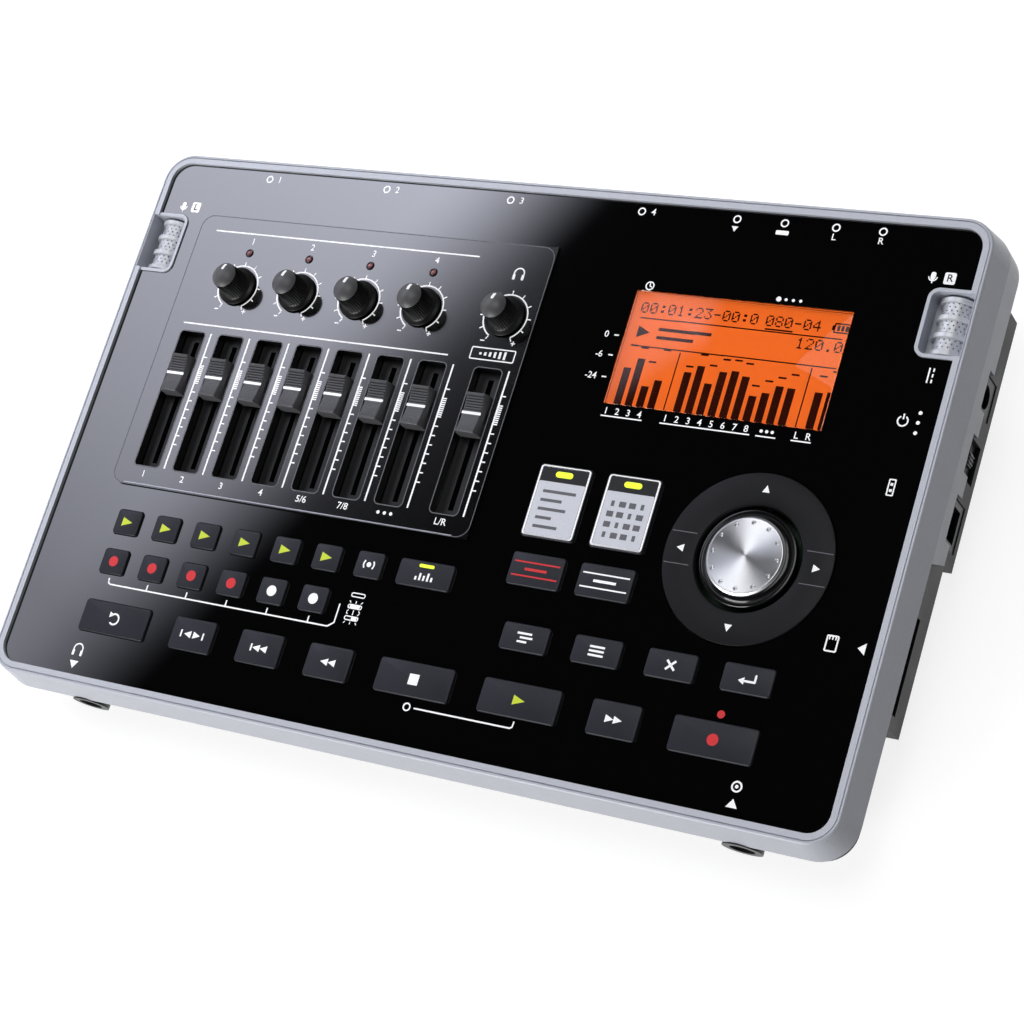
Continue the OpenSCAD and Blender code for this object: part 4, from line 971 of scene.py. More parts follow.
class Icon(Enum):
    """Signs that the keys carry in place of words: strokes of a mark sheet, from the sign's middle."""

    PLAY = (("triangle", 0.0, 0.0, 2.6, 3.4, -90.0),)
    RECORD = (("disc", 0.0, 0.0, 1.5),)
    STOP = (("bar", 0.0, 0.0, 2.9, 2.9),)
    REWIND = (("triangle", -1.15, 0.0, 2.0, 2.3, 90.0), ("triangle", 1.15, 0.0, 2.0, 2.3, 90.0))
    FORWARD = (("triangle", -1.15, 0.0, 2.0, 2.3, -90.0), ("triangle", 1.15, 0.0, 2.0, 2.3, -90.0))
    ZERO = (
        ("bar", -2.5, 0.0, 0.5, 2.0), ("triangle", -0.95, 0.0, 2.0, 2.3, 90.0),
        ("triangle", 1.35, 0.0, 2.0, 2.3, 90.0),
    )
    LOOP = (
        ("triangle", -1.5, 0.0, 2.0, 2.3, 90.0), ("bar", -3.6, 0.0, 0.5, 2.0),
        ("triangle", 1.5, 0.0, 2.0, 2.3, -90.0), ("bar", 3.6, 0.0, 0.5, 2.0),
    )
    RETRY = (("arc", 0.0, 0.0, 1.5, 0.5, 150.0, -285.0), ("triangle", -1.5, 0.95, 1.7, 1.4, 150.0))
    LAYERS = (("bar", -0.2, 1.1, 4.2, 0.55), ("bar", 0.5, 0.0, 3.6, 0.55), ("bar", -0.5, -1.1, 2.8, 0.55))
    MENU = (("bar", 0.0, -1.1, 4.2, 0.55), ("bar", 0.0, 0.0, 4.2, 0.55), ("bar", 0.0, 1.1, 4.2, 0.55))
    BACK = (("bar", 0.0, 0.0, 3.4, 0.6, 45.0), ("bar", 0.0, 0.0, 3.4, 0.6, -45.0))
    ENTER = (
        ("bar", 2.0, 0.35, 1.7, 0.55, -90.0), ("bar", 0.6, -0.5, 2.8, 0.55, 180.0),
        ("disc", 2.0, 1.2, 0.275, 12), ("disc", 2.0, -0.5, 0.275, 12), ("disc", -0.8, -0.5, 0.275, 12),
        ("triangle", -1.6, -0.5, 1.9, 1.6, 90.0),
    )
    TAP = (
        ("disc", 0.0, 0.0, 0.7), ("arc", 0.0, 0.0, 1.6, 0.45, -40.0, 80.0),
        ("arc", 0.0, 0.0, 1.6, 0.45, 140.0, 80.0),
    )
    LEVELS = (
        ("bar", -2.4, -0.6, 0.6, 1.0), ("bar", -1.2, -0.1, 0.6, 2.0), ("bar", 0.0, -0.4, 0.6, 1.4),
        ("bar", 1.2, 0.0, 0.6, 2.2), ("bar", 2.4, -0.5, 0.6, 1.2),
    )
    RULES = (("bar", 0.0, -1.85, 13.2, 0.4), ("bar", 0.0, 1.85, 13.2, 0.4), ("bar", 0.0, 0.0, 6.4, 0.7))

    def draw(self, sheet: MarkSheet, x: float, y: float) -> None:
        """Draw the sign round a middle.

        Args:
            sheet: marks that it is added to.
            x: middle, left to right.
            y: middle, front to rear.
        """
        pens = {"bar": sheet.bar, "disc": sheet.disc, "triangle": sheet.triangle, "arc": sheet.arc}
        for pen, across, along, *sizes in self.value:
            pens[pen](x + across, y + along, *sizes)


@dataclass(frozen=True)
class KeyPlan:
    """One key: its name, place, size, sign and the sign's ink."""

    name: str
    x: float
    y: float
    w: float
    d: float
    icon: Icon
    ink: Finish = INK_WHITE_PAINTED_GLOW


@dataclass
class KeySet:
    """The thirty keys: track, menu, mode and transport keys and the two pads."""

    rise: float = 0.8
    bevel: float = 0.4
    corner: float = 0.9
    flange: float = 0.8
    flange_t: float = 0.8
    low: float = -2.85
    stem_r: float = 1.2
    stem_low: float = -6.5
    track_x: float = -97.5
    pitch: float = 13.42
    play_row: float = -32.8
    rec_row: float = -44.5
    transport_row: float = -60.5
    mode_row: float = -26.8
    pad_row: float = -8.1
    track_size: Point = (8.3, 7.2)
    menu_size: Point = (13.4, 7.2)
    mode_size: Point = (15.3, 8.8)
    pad_size: Point = (15.3, 20.0)
    wide_size: Point = (22.4, 9.1)
    narrow_size: Point = (13.6, 9.1)
    effect_size: Point = (16.5, 7.2)
    effect_x: float = 0.3
    under_lamp: float = 0.7
    mode_xs: Point = (31.4, 51.2)
    menu_xs: tuple[float, ...] = (34.0, 54.5, 75.0, 95.5)
    forms: dict[Point, bpy.types.Object] = field(default_factory=dict)

    def plans(self) -> list[KeyPlan]:
        """Plan every key but the pads.

        Returns:
            The plans, in the order in which the keys are built.
        """
        keys = []
        small = self.track_size
        for i in range(6):
            x = self.track_x + self.pitch * i
            ink = INK_RED if i < 4 else INK_WHITE_PAINTED_GLOW
            keys.append(KeyPlan(f"track_play_key_{i + 1}", x, self.play_row, *small, Icon.PLAY, INK_LIME))
            keys.append(KeyPlan(f"track_rec_key_{i + 1}", x, self.rec_row, *small, Icon.RECORD, ink))
        keys.append(KeyPlan("tap_key", self.track_x + self.pitch * 6, self.play_row, *small, Icon.TAP))
        keys.append(KeyPlan("effect_key", self.effect_x, self.play_row, *self.effect_size, Icon.LEVELS))
        for x, side, ink in zip(self.mode_xs, ("left", "right"), (INK_RED, INK_WHITE_PAINTED_GLOW)):
            keys.append(KeyPlan(f"mode_key_{side}", x, self.mode_row, *self.mode_size, Icon.RULES, ink))
        names = ("track_key", "menu_key", "exit_key", "enter_key")
        icons = (Icon.LAYERS, Icon.MENU, Icon.BACK, Icon.ENTER)
        for x, name, icon in zip(self.menu_xs, names, icons):
            keys.append(KeyPlan(name, x, self.rec_row, *self.menu_size, icon))
        transport = (
            ("retry_key", -90.6, self.wide_size, Icon.RETRY, INK_WHITE_PAINTED_GLOW),
            ("repeat_key", -63.9, self.narrow_size, Icon.LOOP, INK_WHITE_PAINTED_GLOW),
            ("zero_key", -41.8, self.narrow_size, Icon.ZERO, INK_WHITE_PAINTED_GLOW),
            ("rewind_key", -19.8, self.narrow_size, Icon.REWIND, INK_WHITE_PAINTED_GLOW),
            ("stop_key", 6.7, self.wide_size, Icon.STOP, INK_WHITE_PAINTED_GLOW),
            ("play_key", 37.7, self.wide_size, Icon.PLAY, INK_LIME),
            ("forward_key", 64.3, self.narrow_size, Icon.FORWARD, INK_WHITE_PAINTED_GLOW),
            ("record_key", 91.0, self.wide_size, Icon.RECORD, INK_RED),
        )
        for name, x, size, icon, ink in transport:
            keys.append(KeyPlan(name, x, self.transport_row, *size, icon, ink))
        return keys

    def form(self, size: Point) -> bpy.types.Object:
        """Return the pattern of a key of one size, modelled on its first use.

        Args:
            size: width and depth of the key.

        Returns:
            The pattern: flange, cap with a rounded top edge, and stem.
        """
        if size not in self.forms:
            w, d = (side + 2 * self.flange for side in size)
            piece = Workpiece.plate("key_form", w, d, self.corner + self.flange, self.low)
            piece.pull(self.flange_t)
            piece.inset(self.flange)
            piece.pull(self.rise - self.low - self.flange_t)
            piece.round_border(self.bevel)
            piece.rod(0.0, 0.0, self.stem_r, self.stem_low, self.low + self.flange_t / 2)
            self.forms[size] = piece.done()
        return self.forms[size]

    def build(self) -> None:
        """Model every key and pad, print its sign and put it in its place."""
        for plan in self.plans():
            key = twin(self.form((plan.w, plan.d)), plan.name + "_cap")
            settle(key, plan.name, KEY_CHARCOAL, PANEL.matrix(plan.x, plan.y), [plan.name])
            marks = MarkSheet(plan.name + "_sign", plan.name, plan.ink, self.rise)
            plan.icon.draw(marks, plan.x, plan.y - (self.under_lamp if plan.icon is Icon.LEVELS else 0.0))
            marks.finished()
        lamp = MarkSheet("effect_key_lamp", "effect_key", LAMP_LIME, self.rise, thick=0.12)
        lamp.patch(self.effect_x, self.play_row + 2.2, 4.5, 0.9, 0.4)
        lamp.finished()
        for x, side in zip(self.mode_xs, ("left", "right")):
            self.pad(f"pad_{side}", x, side == "left")
        for pattern in self.forms.values():
            drop(pattern)

    def pad(self, name: str, x: float, rows: bool) -> None:
        """Model a pad: black cap, white outline, lamp, and a silver field with a plain design.

        Args:
            name: name of the pad and of its body.
            x: place of its middle, left to right.
            rows: whether its design is rows of bars, or else a grid of steps.
        """
        w, d = self.pad_size
        y = self.pad_row
        cap = twin(self.form(self.pad_size), name + "_cap")
        settle(cap, name, KEY_CHARCOAL, PANEL.matrix(x, y), [name])
        line = MarkSheet(name + "_outline", name, INK_WHITE_PAINTED_GLOW, self.rise)
        line.outline(x, y, w - 0.7, d - 0.7, 0.9, 0.5)
        line.finished()
        strip = MarkSheet(name + "_strip", name, INK_BLACK, self.rise)
        strip.patch(x, y + 7.4, w - 1.9, 3.9, 0.3)
        strip.finished()
        lamp = MarkSheet(name + "_lamp", name, LAMP_LIME, self.rise, thick=0.2)
        lamp.patch(x, y + 7.4, 5.0, 1.6, 0.8)
        lamp.finished()
        face = MarkSheet(name + "_field", name, PAD_SILVER, self.rise, "pad_silver")
        face.patch(x, y - 2.2, w - 1.9, 14.9, 0.3)
        face.finished()
        design = MarkSheet(name + "_design", name, INK_GREY, self.rise + face.thick)
        if rows:
            for step, length in enumerate((9.6, 6.2, 8.0, 4.6, 7.0)):
                design.bar(x - 4.8 + length / 2, y + 2.6 - 2.4 * step, length, 0.8)
        else:
            for column in range(4):
                for row in range(4):
                    wide = 1.9 if (column + row) % 3 else 0.9
                    design.bar(x - 4.2 + 2.8 * column, y + 2.0 - 2.8 * row, wide, 1.5)
        design.finished()


@dataclass
class KnobRow:
    """Four gain knobs and the level knob: a foot flange, a fluted grip and a grey domed top."""

    foot_r: float = 5.7
    grip_r: float = 4.2
    top_r: float = 3.7
    base: float = 1.05
    dome_low: float = 8.45
    dome: float = 1.75
    shaft_r: float = 2.0
    shaft_low: float = -6.8
    flutes: int = 36
    flute_share: float = 0.95
    y: float = 40.7
    gain_x: float = -88.35
    pitch: float = 20.6
    level_x: float = -0.2

    def places(self) -> list[tuple[str, float]]:
        """Return each knob's name and its place, left to right."""
        gains = [(f"gain_knob_{i + 1}", self.gain_x + self.pitch * i) for i in range(4)]
        return gains + [("level_knob", self.level_x)]

    def skirt(self) -> bpy.types.Object:
        """Model the skirt with its flutes and shaft.

        Returns:
            The pattern of a skirt.
        """
        top, base = self.dome_low, self.base
        profile = [
            (self.foot_r - 0.15, base), (self.foot_r, base + 0.12), (self.foot_r, base + 0.4),
            (self.foot_r - 0.15, base + 0.55), (self.grip_r + 0.6, base + 0.8),
            (self.grip_r + 0.2, base + 1.2), (self.grip_r, base + 1.8),
            (self.top_r + 0.05, top - 0.3), (self.top_r, top - 0.1), (self.top_r - 0.2, top),
        ]
        sides = 4 * self.flutes
        piece = Workpiece.turned("knob_skirt", profile, sides)

        def in_flute(spot: Vector) -> bool:
            """Tell whether a point of the grip lies in a flute."""
            turn = round(math.atan2(spot.y, spot.x) / (2 * math.pi) * sides)
            return base + 1.3 < spot.z < top - 0.05 and turn % 4 < 2

        piece.pick(in_flute)
        piece.narrow(self.flute_share, self.flute_share)
        obj = piece.done()
        ends = [(self.shaft_r, self.shaft_low), (self.shaft_r, self.base + 0.5)]
        shaft = Workpiece.turned("knob_shaft", ends, 32)
        return merge([obj, shaft.done()])

    def cap(self) -> bpy.types.Object:
        """Model the domed top.

        Returns:
            The pattern of a top.
        """
        ball = (self.top_r ** 2 + self.dome ** 2) / (2 * self.dome)
        reach = math.asin(self.top_r / ball)
        rings = 10
        profile = [(self.top_r - 0.06, self.dome_low - 0.12), (self.top_r, self.dome_low)]
        for step in range(1, rings):
            angle = reach * (1 - step / rings)
            profile.append((ball * math.sin(angle), self.dome_low + self.dome - ball * (1 - math.cos(angle))))
        return Workpiece.turned("knob_top", profile, 72).done()

    def build(self) -> None:
        """Model the knobs and their pointers and put them in their places."""
        skirt, cap = self.skirt(), self.cap()
        pointer = self.pointer(cap)
        for name, x in self.places():
            place = PANEL.matrix(x, self.y)
            settle(twin(skirt, name + "_skirt"), name, KNOB_BLACK, place, [name])
            settle(twin(cap, name + "_top"), name, KNOB_TOP, place)
            settle(twin(pointer, name + "_pointer"), name, INK_WHITE_PAINTED_GLOW, place)
        for pattern in (skirt, cap, pointer):
            drop(pattern)

    def pointer(self, cap: bpy.types.Object) -> bpy.types.Object:
        """Model the white line that follows the dome.

        Args:
            cap: the domed top that it lies on.

        Returns:
            The pattern of a pointer.
        """
        piece = Workpiece.plate("knob_pointer", 0.85, 2.0, 0.25, self.dome_low + self.dome)
        bpy.ops.transform.translate(value=(0.0, 2.05, 0.5))
        bpy.ops.mesh.quads_convert_to_tris()
        bpy.ops.mesh.subdivide(number_cuts=3)
        bpy.ops.object.mode_set(mode="OBJECT")
        obj = piece.obj
        apply_modifier(
            obj, "SHRINKWRAP", target=cap, wrap_method="PROJECT", use_project_z=True,
            use_negative_direction=True, use_positive_direction=False, offset=0.01)
        apply_modifier(obj, "SOLIDIFY", thickness=0.04, offset=1.0)
        smooth(obj)
        return obj


def merge(objects: Sequence[bpy.types.Object]) -> bpy.types.Object:
    """Join objects into the first one.

    Args:
        objects: the objects.

    Returns:
        The first object, which now holds them all.
    """
    start_clean()
    for obj in objects:
        obj.select_set(True)
    bpy.context.view_layer.objects.active = objects[0]
    bpy.ops.object.join()
    return objects[0]


@dataclass
class FaderBank:
    """Eight fader caps with a valley, grip grooves, a white line and a lever."""

    foot_w: float = 7.0
    top_w: float = 5.3
    length: float = 11.3
    low: float = -1.4
    foot: float = 1.1
    top: float = 3.4
    valley: float = 1.05
    rows: int = 24
    lever_low: float = -6.2
    y: float = 12.1
    first_x: float = -98.0
    pitch: float = 13.42
    master_x: float = -0.2

    def places(self) -> list[tuple[str, float]]:
        """Return each fader's name and its place, left to right."""
        tracks = [(f"track_fader_{i + 1}", self.first_x + self.pitch * i) for i in range(6)]
        return tracks + [("rhythm_fader", self.first_x + self.pitch * 6), ("master_fader", self.master_x)]

    def crest(self, y: float) -> float:
        """Return the height of the cap's top at a distance from its middle."""
        return self.top - self.valley * (1.0 - (2.0 * y / self.length) ** 2)

    def cap(self) -> bpy.types.Object:
        """Model the cap: a tapered block whose top is drawn down into a valley and grooved.

        Returns:
            The pattern of a cap.
        """
        piece = Workpiece.grid("fader_form", 2, self.rows)
        piece.narrow(self.foot_w, self.length)
        bpy.ops.transform.translate(value=(0.0, 0.0, self.low))
        piece.pull(self.foot - self.low)
        piece.pull(self.top - self.foot)
        piece.narrow(self.top_w / self.foot_w, 1.0)
        bpy.ops.object.mode_set(mode="OBJECT")
        for point in piece.obj.data.vertices:
            if point.co.z > self.top - 0.01:
                point.co.z = self.crest(point.co.y)
        bpy.ops.object.mode_set(mode="EDIT")
        piece.pick(lambda spot: spot.z > self.top - 0.01)
        bpy.ops.mesh.bevel(offset=0.45, segments=2, affect="EDGES")
        obj = piece.done()
        break_edges(obj, 40.0)
        tool = Workpiece.blank("groove_tool")
        for first, step, count, wide, deep in ((0.95, 0.72, 6, 0.36, 0.34), (-0.95, -0.44, 10, 0.14, 0.08)):
            for i in range(count):
                y = first + step * i
                tool.slab(0.0, y, self.foot_w, wide, self.crest(y) - deep, self.top + 1.0)
        cut(obj, tool.done())
        lever = Workpiece.plate("fader_lever", 1.0, 4.0, 0.0, self.lever_low)
        lever.pull(self.low - self.lever_low + 0.2)
        return merge([obj, lever.done()])

    def build(self) -> None:
        """Model the caps and their lines and put them in their places."""
        cap = self.cap()
        for name, x in self.places():
            settle(twin(cap, name + "_cap"), name, FADER_GREY, PANEL.matrix(x, self.y), [name])
            line = MarkSheet(name + "_line", name, INK_WHITE_PAINTED_GLOW, self.crest(0.0) - 0.01, thick=0.05)
            line.bar(x, self.y, self.top_w + 0.5, 0.75)
            line.finished()
        drop(cap)


@dataclass
class CursorDial:
    """The cursor ring with its four arrows, and the jog dial with its spun metal top."""

    x: float = 86.6
    y: float = -14.6
    ring_r: float = 22.4
    hole_r: float = 13.8
    ring_rise: float = 0.5
    ring_t: float = 2.1
    skirt_r: float = 12.6
    skirt_rise: float = 0.4
    dial_r: float = 10.3
    neck_out: float = 0.5
    neck_rise: float = 1.2
    dial_rise: float = 2.4
    dial_low: float = -1.4
    shaft_r: float = 3.0
    shaft_low: float = -6.8
    dimples: int = 12
    dimple_r: float = 0.62
    dimple_ring: float = 8.6
    arrow_r: float = 18.2

    def ring(self) -> None:
        """Model the ring with rounded edges and its ears, and print its arrows."""
        top, low = self.ring_rise, self.ring_rise - self.ring_t
        edge = 0.3
        profile = [
            (self.hole_r, low), (self.hole_r, top - 0.7), (self.hole_r + 0.35, top - 0.2),
            (self.hole_r + 0.9, top), (self.ring_r - edge, top),
            (self.ring_r - edge * 0.3, top - edge * 0.3), (self.ring_r, top - edge), (self.ring_r, low),
        ]
        piece = Workpiece.hoop("cursor_ring_plate", profile)
        for side in (-1.0, 1.0):
            piece.slab(0.0, side * (self.hole_r + 1.45), 3.4, 1.5, -6.2, low + 0.3)
        place = PANEL.matrix(self.x, self.y)
        settle(piece.done(), Body.RING.value, RING_BLACK, place, ["cursor_ring"])
        arrows = MarkSheet("cursor_arrows", Body.RING.value, INK_WHITE_PAINTED_GLOW, self.ring_rise)
        for turn in (0.0, 90.0, 180.0, 270.0):
            angle = math.radians(turn)
            spot = (self.x - self.arrow_r * math.sin(angle), self.y + self.arrow_r * math.cos(angle))
            arrows.triangle(*spot, 2.0, 1.9, turn)
        arrows.finished()
        rules = MarkSheet("cursor_rules", Body.RING.value, INK_GREY, self.ring_rise)
        for side in (-1.0, 1.0):
            for row in (-4.2, 4.2):
                rules.bar(self.x + side * 18.1, self.y + row, 6.8, 0.22)
        rules.finished()

    def dial(self) -> None:
        """Model the black skirt and the dimpled metal top."""
        place = PANEL.matrix(self.x, self.y)
        neck = self.dial_r + self.neck_out
        skirt = [
            (self.shaft_r, self.shaft_low), (self.shaft_r, self.dial_low), (self.skirt_r, self.dial_low),
            (self.skirt_r, self.skirt_rise - 0.15), (self.skirt_r - 0.15, self.skirt_rise),
            (self.skirt_r - 0.7, self.skirt_rise + 0.12), (self.skirt_r - 0.9, self.skirt_rise + 0.05),
            (self.skirt_r - 1.1, self.skirt_rise + 0.35), (neck, self.neck_rise),
            (self.dial_r - 0.3, self.neck_rise + 0.1),
        ]
        obj = Workpiece.turned("jog_dial_skirt", skirt, 128).done()
        settle(obj, Body.DIAL.value, SKIRT_BLACK, place)
        top = self.dial_rise
        metal = [
            (self.dial_r - 0.1, self.neck_rise), (self.dial_r, self.neck_rise + 0.15),
            (self.dial_r, top - 0.55), (self.dial_r - 0.12, top - 0.4), (self.dial_r - 0.25, top - 0.32),
            (self.dial_r - 0.42, top - 0.1), (self.dial_r - 0.6, top), (self.dial_r - 0.7, top),
            (7.8, top), (4.0, top), (0.4, top),
        ]
        obj = Workpiece.turned("jog_dial_top", metal, 128).done()
        tool = Workpiece.blank("dimple_tool")
        for i in range(self.dimples):
            angle = 2 * math.pi * i / self.dimples + math.pi / 2
            spot = (self.dimple_ring * math.cos(angle), self.dimple_ring * math.sin(angle), top + 0.12)
            bpy.ops.mesh.primitive_uv_sphere_add(
                segments=16, ring_count=10, radius=self.dimple_r, location=spot)
        cut(obj, tool.done())
        settle(obj, Body.DIAL.value, DIAL_METAL, place, ["jog_dial"])

    def build(self) -> None:
        """Build the ring and the dial."""
        self.ring()
        self.dial()


@dataclass
class Display:
    """The lit display under its clear window: time row, measure row and level bars."""

    x: float = 65.7
    y: float = 36.65
    w: float = 60.8
    d: float = 32.3
    face: float = -2.0
    pane_t: float = 1.2
    gap: float = 0.15
    dot: float = 0.43
    left: float = 37.3
    digit_rows: tuple[tuple[str, ...], ...] = (
        ("01110", "10001", "10011", "10101", "11001", "10001", "01110"),
        ("00100", "01100", "00100", "00100", "00100", "00100", "01110"),
        ("01110", "10001", "00001", "00010", "00100", "01000", "11111"),
        ("11111", "00010", "00100", "00010", "00001", "10001", "01110"),
        ("00010", "00110", "01010", "10010", "11111", "00010", "00010"),
        ("11111", "10000", "11110", "00001", "00001", "10001", "01110"),
        ("00110", "01000", "10000", "11110", "10001", "10001", "01110"),
        ("11111", "00001", "00010", "00100", "01000", "01000", "01000"),
        ("01110", "10001", "10001", "01110", "10001", "10001", "01110"),
        ("01110", "10001", "10001", "01111", "00001", "00010", "01100"),
    )

    def digits(self, marks: MarkSheet, text: str, x: float, y: float) -> None:
        """Draw digits as dots of the display.

        Args:
            marks: marks that they are added to.
            text: digits, colons, dashes and points.
            x: left edge of the first one.
            y: upper edge of the row.
        """
        for place, sign in enumerate(text):
            left = x + place * 6 * self.dot
            if sign.isdigit():
                for row, dots in enumerate(self.digit_rows[int(sign)]):
                    self.runs(marks, dots, left, y - (row + 0.5) * self.dot)
            elif sign == ":":
                for row in (2, 5):
                    marks.bar(left + 2.5 * self.dot, y - row * self.dot, 2 * self.dot, 1.6 * self.dot)
            elif sign == "-":
                marks.bar(left + 2.5 * self.dot, y - 3.5 * self.dot, 4 * self.dot, self.dot)
            elif sign == ".":
                marks.bar(left + 2.5 * self.dot, y - 6.2 * self.dot, 1.6 * self.dot, 1.6 * self.dot)

    def runs(self, marks: MarkSheet, dots: str, left: float, y: float) -> None:
        """Draw one row of dots, each run of neighbours as one bar.

        Args:
            marks: marks that they are added to.
            dots: the row, with 1 for a dark dot.
            left: left edge of the row.
            y: middle of the row.
        """
        start = 0
        while start < len(dots):
            if dots[start] == "0":
                start += 1
                continue
            end = start
            while end < len(dots) and dots[end] == "1":
                end += 1
            middle = left + (start + end) / 2 * self.dot
            marks.bar(middle, y, (end - start) * self.dot - 0.03, self.dot - 0.03)
            start = end

    def marks(self) -> None:
        """Draw what the display shows."""
        sheet = MarkSheet("display_marks", Body.CASE.value, DISPLAY_DARK, self.face, "display_orange")
        self.digits(sheet, "00:01:23-00:0", self.left, 50.2)
        self.digits(sheet, "080-04", 72.6, 50.2)
        self.digits(sheet, "120.0", 82.3, 45.1)
        sheet.outline(93.4, 48.7, 4.6, 2.8, 0.4, 0.4)
        sheet.bar(90.9, 48.7, 0.5, 1.3)
        for step in (-1.1, 0.0, 1.1):
            sheet.bar(93.5 + step, 48.7, 0.75, 1.5)
        sheet.bar(65.9, 45.8, 56.2, 0.35)
        sheet.bar(76.7, 46.4, 7.6, 0.45)
        sheet.bar(66.2, 37.95, 57.0, 0.35)
        sheet.triangle(40.0, 41.9, 3.4, 3.6, -90.0)
        for step, length in enumerate((15.0, 10.5)):
            sheet.bar(44.0 + length / 2, 43.1 - 2.3 * step, length, 0.9)
        self.bars(sheet)
        sheet.finished()

    def bars(self, sheet: MarkSheet) -> None:
        """Draw the level bars, their peak ticks and the lines between their groups.

        Args:
            sheet: marks that they are added to.
        """
        floor = 20.75
        groups = (
            (38.55, (10.9, 13.8, 6.4, 8.4), (17.2, 16.8, 13.2, 16.9)),
            (55.65, (11.6, 13.7, 9.2, 12.8, 13.4, 12.3, 7.4, 8.6, 10.8, 10.6),
             (13.2, 16.8, 14.2, 16.2, 16.3, 15.8, 10.2, 11.8, 13.1, 14.3)),
            (92.05, (10.4, 10.8), (14.8, 16.3)),
        )
        step = 3.22
        for left, levels, peaks in groups:
            for i, (level, peak) in enumerate(zip(levels, peaks)):
                sheet.bar(left + i * step, floor + level / 2, 2.15, level)
                sheet.bar(left + i * step, floor + peak, 2.15, 0.5)
        for x in (51.95, 88.4):
            sheet.bar(x, 29.1, 0.35, 16.6)

    def build(self) -> None:
        """Dress the display, draw its marks and lay the window over it."""
        dress("lcd_module", DISPLAY_ORANGE)
        self.marks()
        w, d = self.w - 2 * self.gap, self.d - 2 * self.gap
        pane = Workpiece.plate("display_pane", w, d, 0.2, -self.pane_t)
        pane.pull(self.pane_t - 0.05)
        pane.round_border(0.12, 2)
        place = PANEL.matrix(self.x, self.y)
        settle(pane.done(), Body.CASE.value, WINDOW_CLEAR, place, ["lcd_window"])


@dataclass
class MicGrilles:
    """A perforated barrel with four hoops in each side edge."""

    axis_x: float = 120.6
    y: float = 52.1
    axis_z: float = -5.4
    mesh_r: float = 4.1
    hoop_r: float = 4.9
    length: float = 15.6
    hoop_w: float = 1.35
    hoop_t: float = 0.9
    felt_t: float = 0.6
    hoops: int = 4
    around: int = 9
    along: int = 8
    hole_r: float = 0.35
    sheet_t: float = 0.12

    def bent(self, piece: Workpiece, r: float) -> None:
        """Bend a flat grid round the barrel's axis.

        Args:
            piece: the grid, of one unit each way, in edit mode.
            r: radius that it is bent to.
        """
        bpy.ops.object.mode_set(mode="OBJECT")
        for point in piece.obj.data.vertices:
            angle = point.co.x * math.pi
            point.co = (r * math.sin(angle), point.co.y, r * math.cos(angle))
        bpy.ops.object.mode_set(mode="EDIT")

    def barrel(self) -> bpy.types.Object:
        """Model the perforated sheet: a tile with two holes, repeated both ways, bent and thickened.

        Returns:
            The sheet.
        """
        piece = Workpiece.grid("mic_mesh_form", 4, 4)
        girth = math.pi * self.mesh_r
        w, d = girth / self.around, self.length / self.along
        piece.narrow(w, d)
        piece.pick(lambda spot: abs(abs(spot.x / w) - 0.25) < 0.01 and abs(spot.x / w - spot.y / d) < 0.01)
        bpy.ops.mesh.bevel(offset=self.hole_r, segments=2, affect="VERTICES")
        bpy.ops.mesh.delete(type="FACE")
        bpy.ops.object.mode_set(mode="OBJECT")
        for count, step in ((self.around, (w, 0.0, 0.0)), (self.along, (0.0, d, 0.0))):
            apply_modifier(
                piece.obj, "ARRAY", count=count, use_relative_offset=False, use_constant_offset=True,
                constant_offset_displace=step, use_merge_vertices=True, merge_threshold=0.002)
        corner = Matrix.Translation(((w - girth) / 2, (d - self.length) / 2, 0.0))
        piece.obj.data.transform(Matrix.Diagonal((1.0 / girth, 1.0, 1.0, 1.0)) @ corner)
        bpy.ops.object.mode_set(mode="EDIT")
        self.bent(piece, self.mesh_r)
        bpy.ops.object.mode_set(mode="OBJECT")
        apply_modifier(piece.obj, "SOLIDIFY", thickness=self.sheet_t, offset=-1.0)
        smooth(piece.obj)
        return piece.obj

    def strip(self, name: str, r: float, width: float, thick: float) -> bpy.types.Object:
        """Model a strip bent over half a turn.

        Args:
            name: name of the strip.
            r: its outer radius.
            width: its width along the barrel.
            thick: its thickness.

        Returns:
            The strip.
        """
        piece = Workpiece.grid(name, 24, 1)
        piece.narrow(1.0, width)
        self.bent(piece, r)
        bpy.ops.object.mode_set(mode="OBJECT")
        apply_modifier(piece.obj, "SOLIDIFY", thickness=thick, offset=-1.0)
        smooth(piece.obj)
        return piece.obj

    def hoop_set(self) -> bpy.types.Object:
        """Model the half hoops over the sheet.

        Returns:
            The hoops, joined.
        """
        made = []
        for i in range(self.hoops):
            hoop = self.strip("mic_hoop_form", self.hoop_r, self.hoop_w, self.hoop_t)
            break_edges(hoop, 50.0)
            middle = (self.length - self.hoop_w) * (i / (self.hoops - 1) - 0.5)
            hoop.data.transform(Matrix.Translation((0.0, middle, 0.0)))
            smooth(hoop)
            made.append(hoop)
        return merge(made)

    def core(self) -> bpy.types.Object:
        """Model the dark felt inside the barrel."""
        return self.strip("mic_felt_form", self.mesh_r - 0.8, self.length - 0.4, self.felt_t)

    def build(self) -> None:
        """Model one grille and put a copy in each side edge."""
        forms = ((self.barrel(), "mesh", GRILLE_METAL), (self.hoop_set(), "hoops", GRILLE_METAL),
                 (self.core(), "felt", FOOT_RUBBER))
        for side, sign in (("left", -1.0), ("right", 1.0)):
            place = PANEL.matrix(sign * self.axis_x, self.y, self.axis_z)
            for form, name, finish in forms:
                nodes = ["mic_grilles"] if name == "mesh" and side == "left" else []
                copy = twin(form, f"mic_{name}_{side}")
                settle(copy, Body.CASE.value, finish, place, nodes)
        for form, _, _ in forms:
            drop(form)


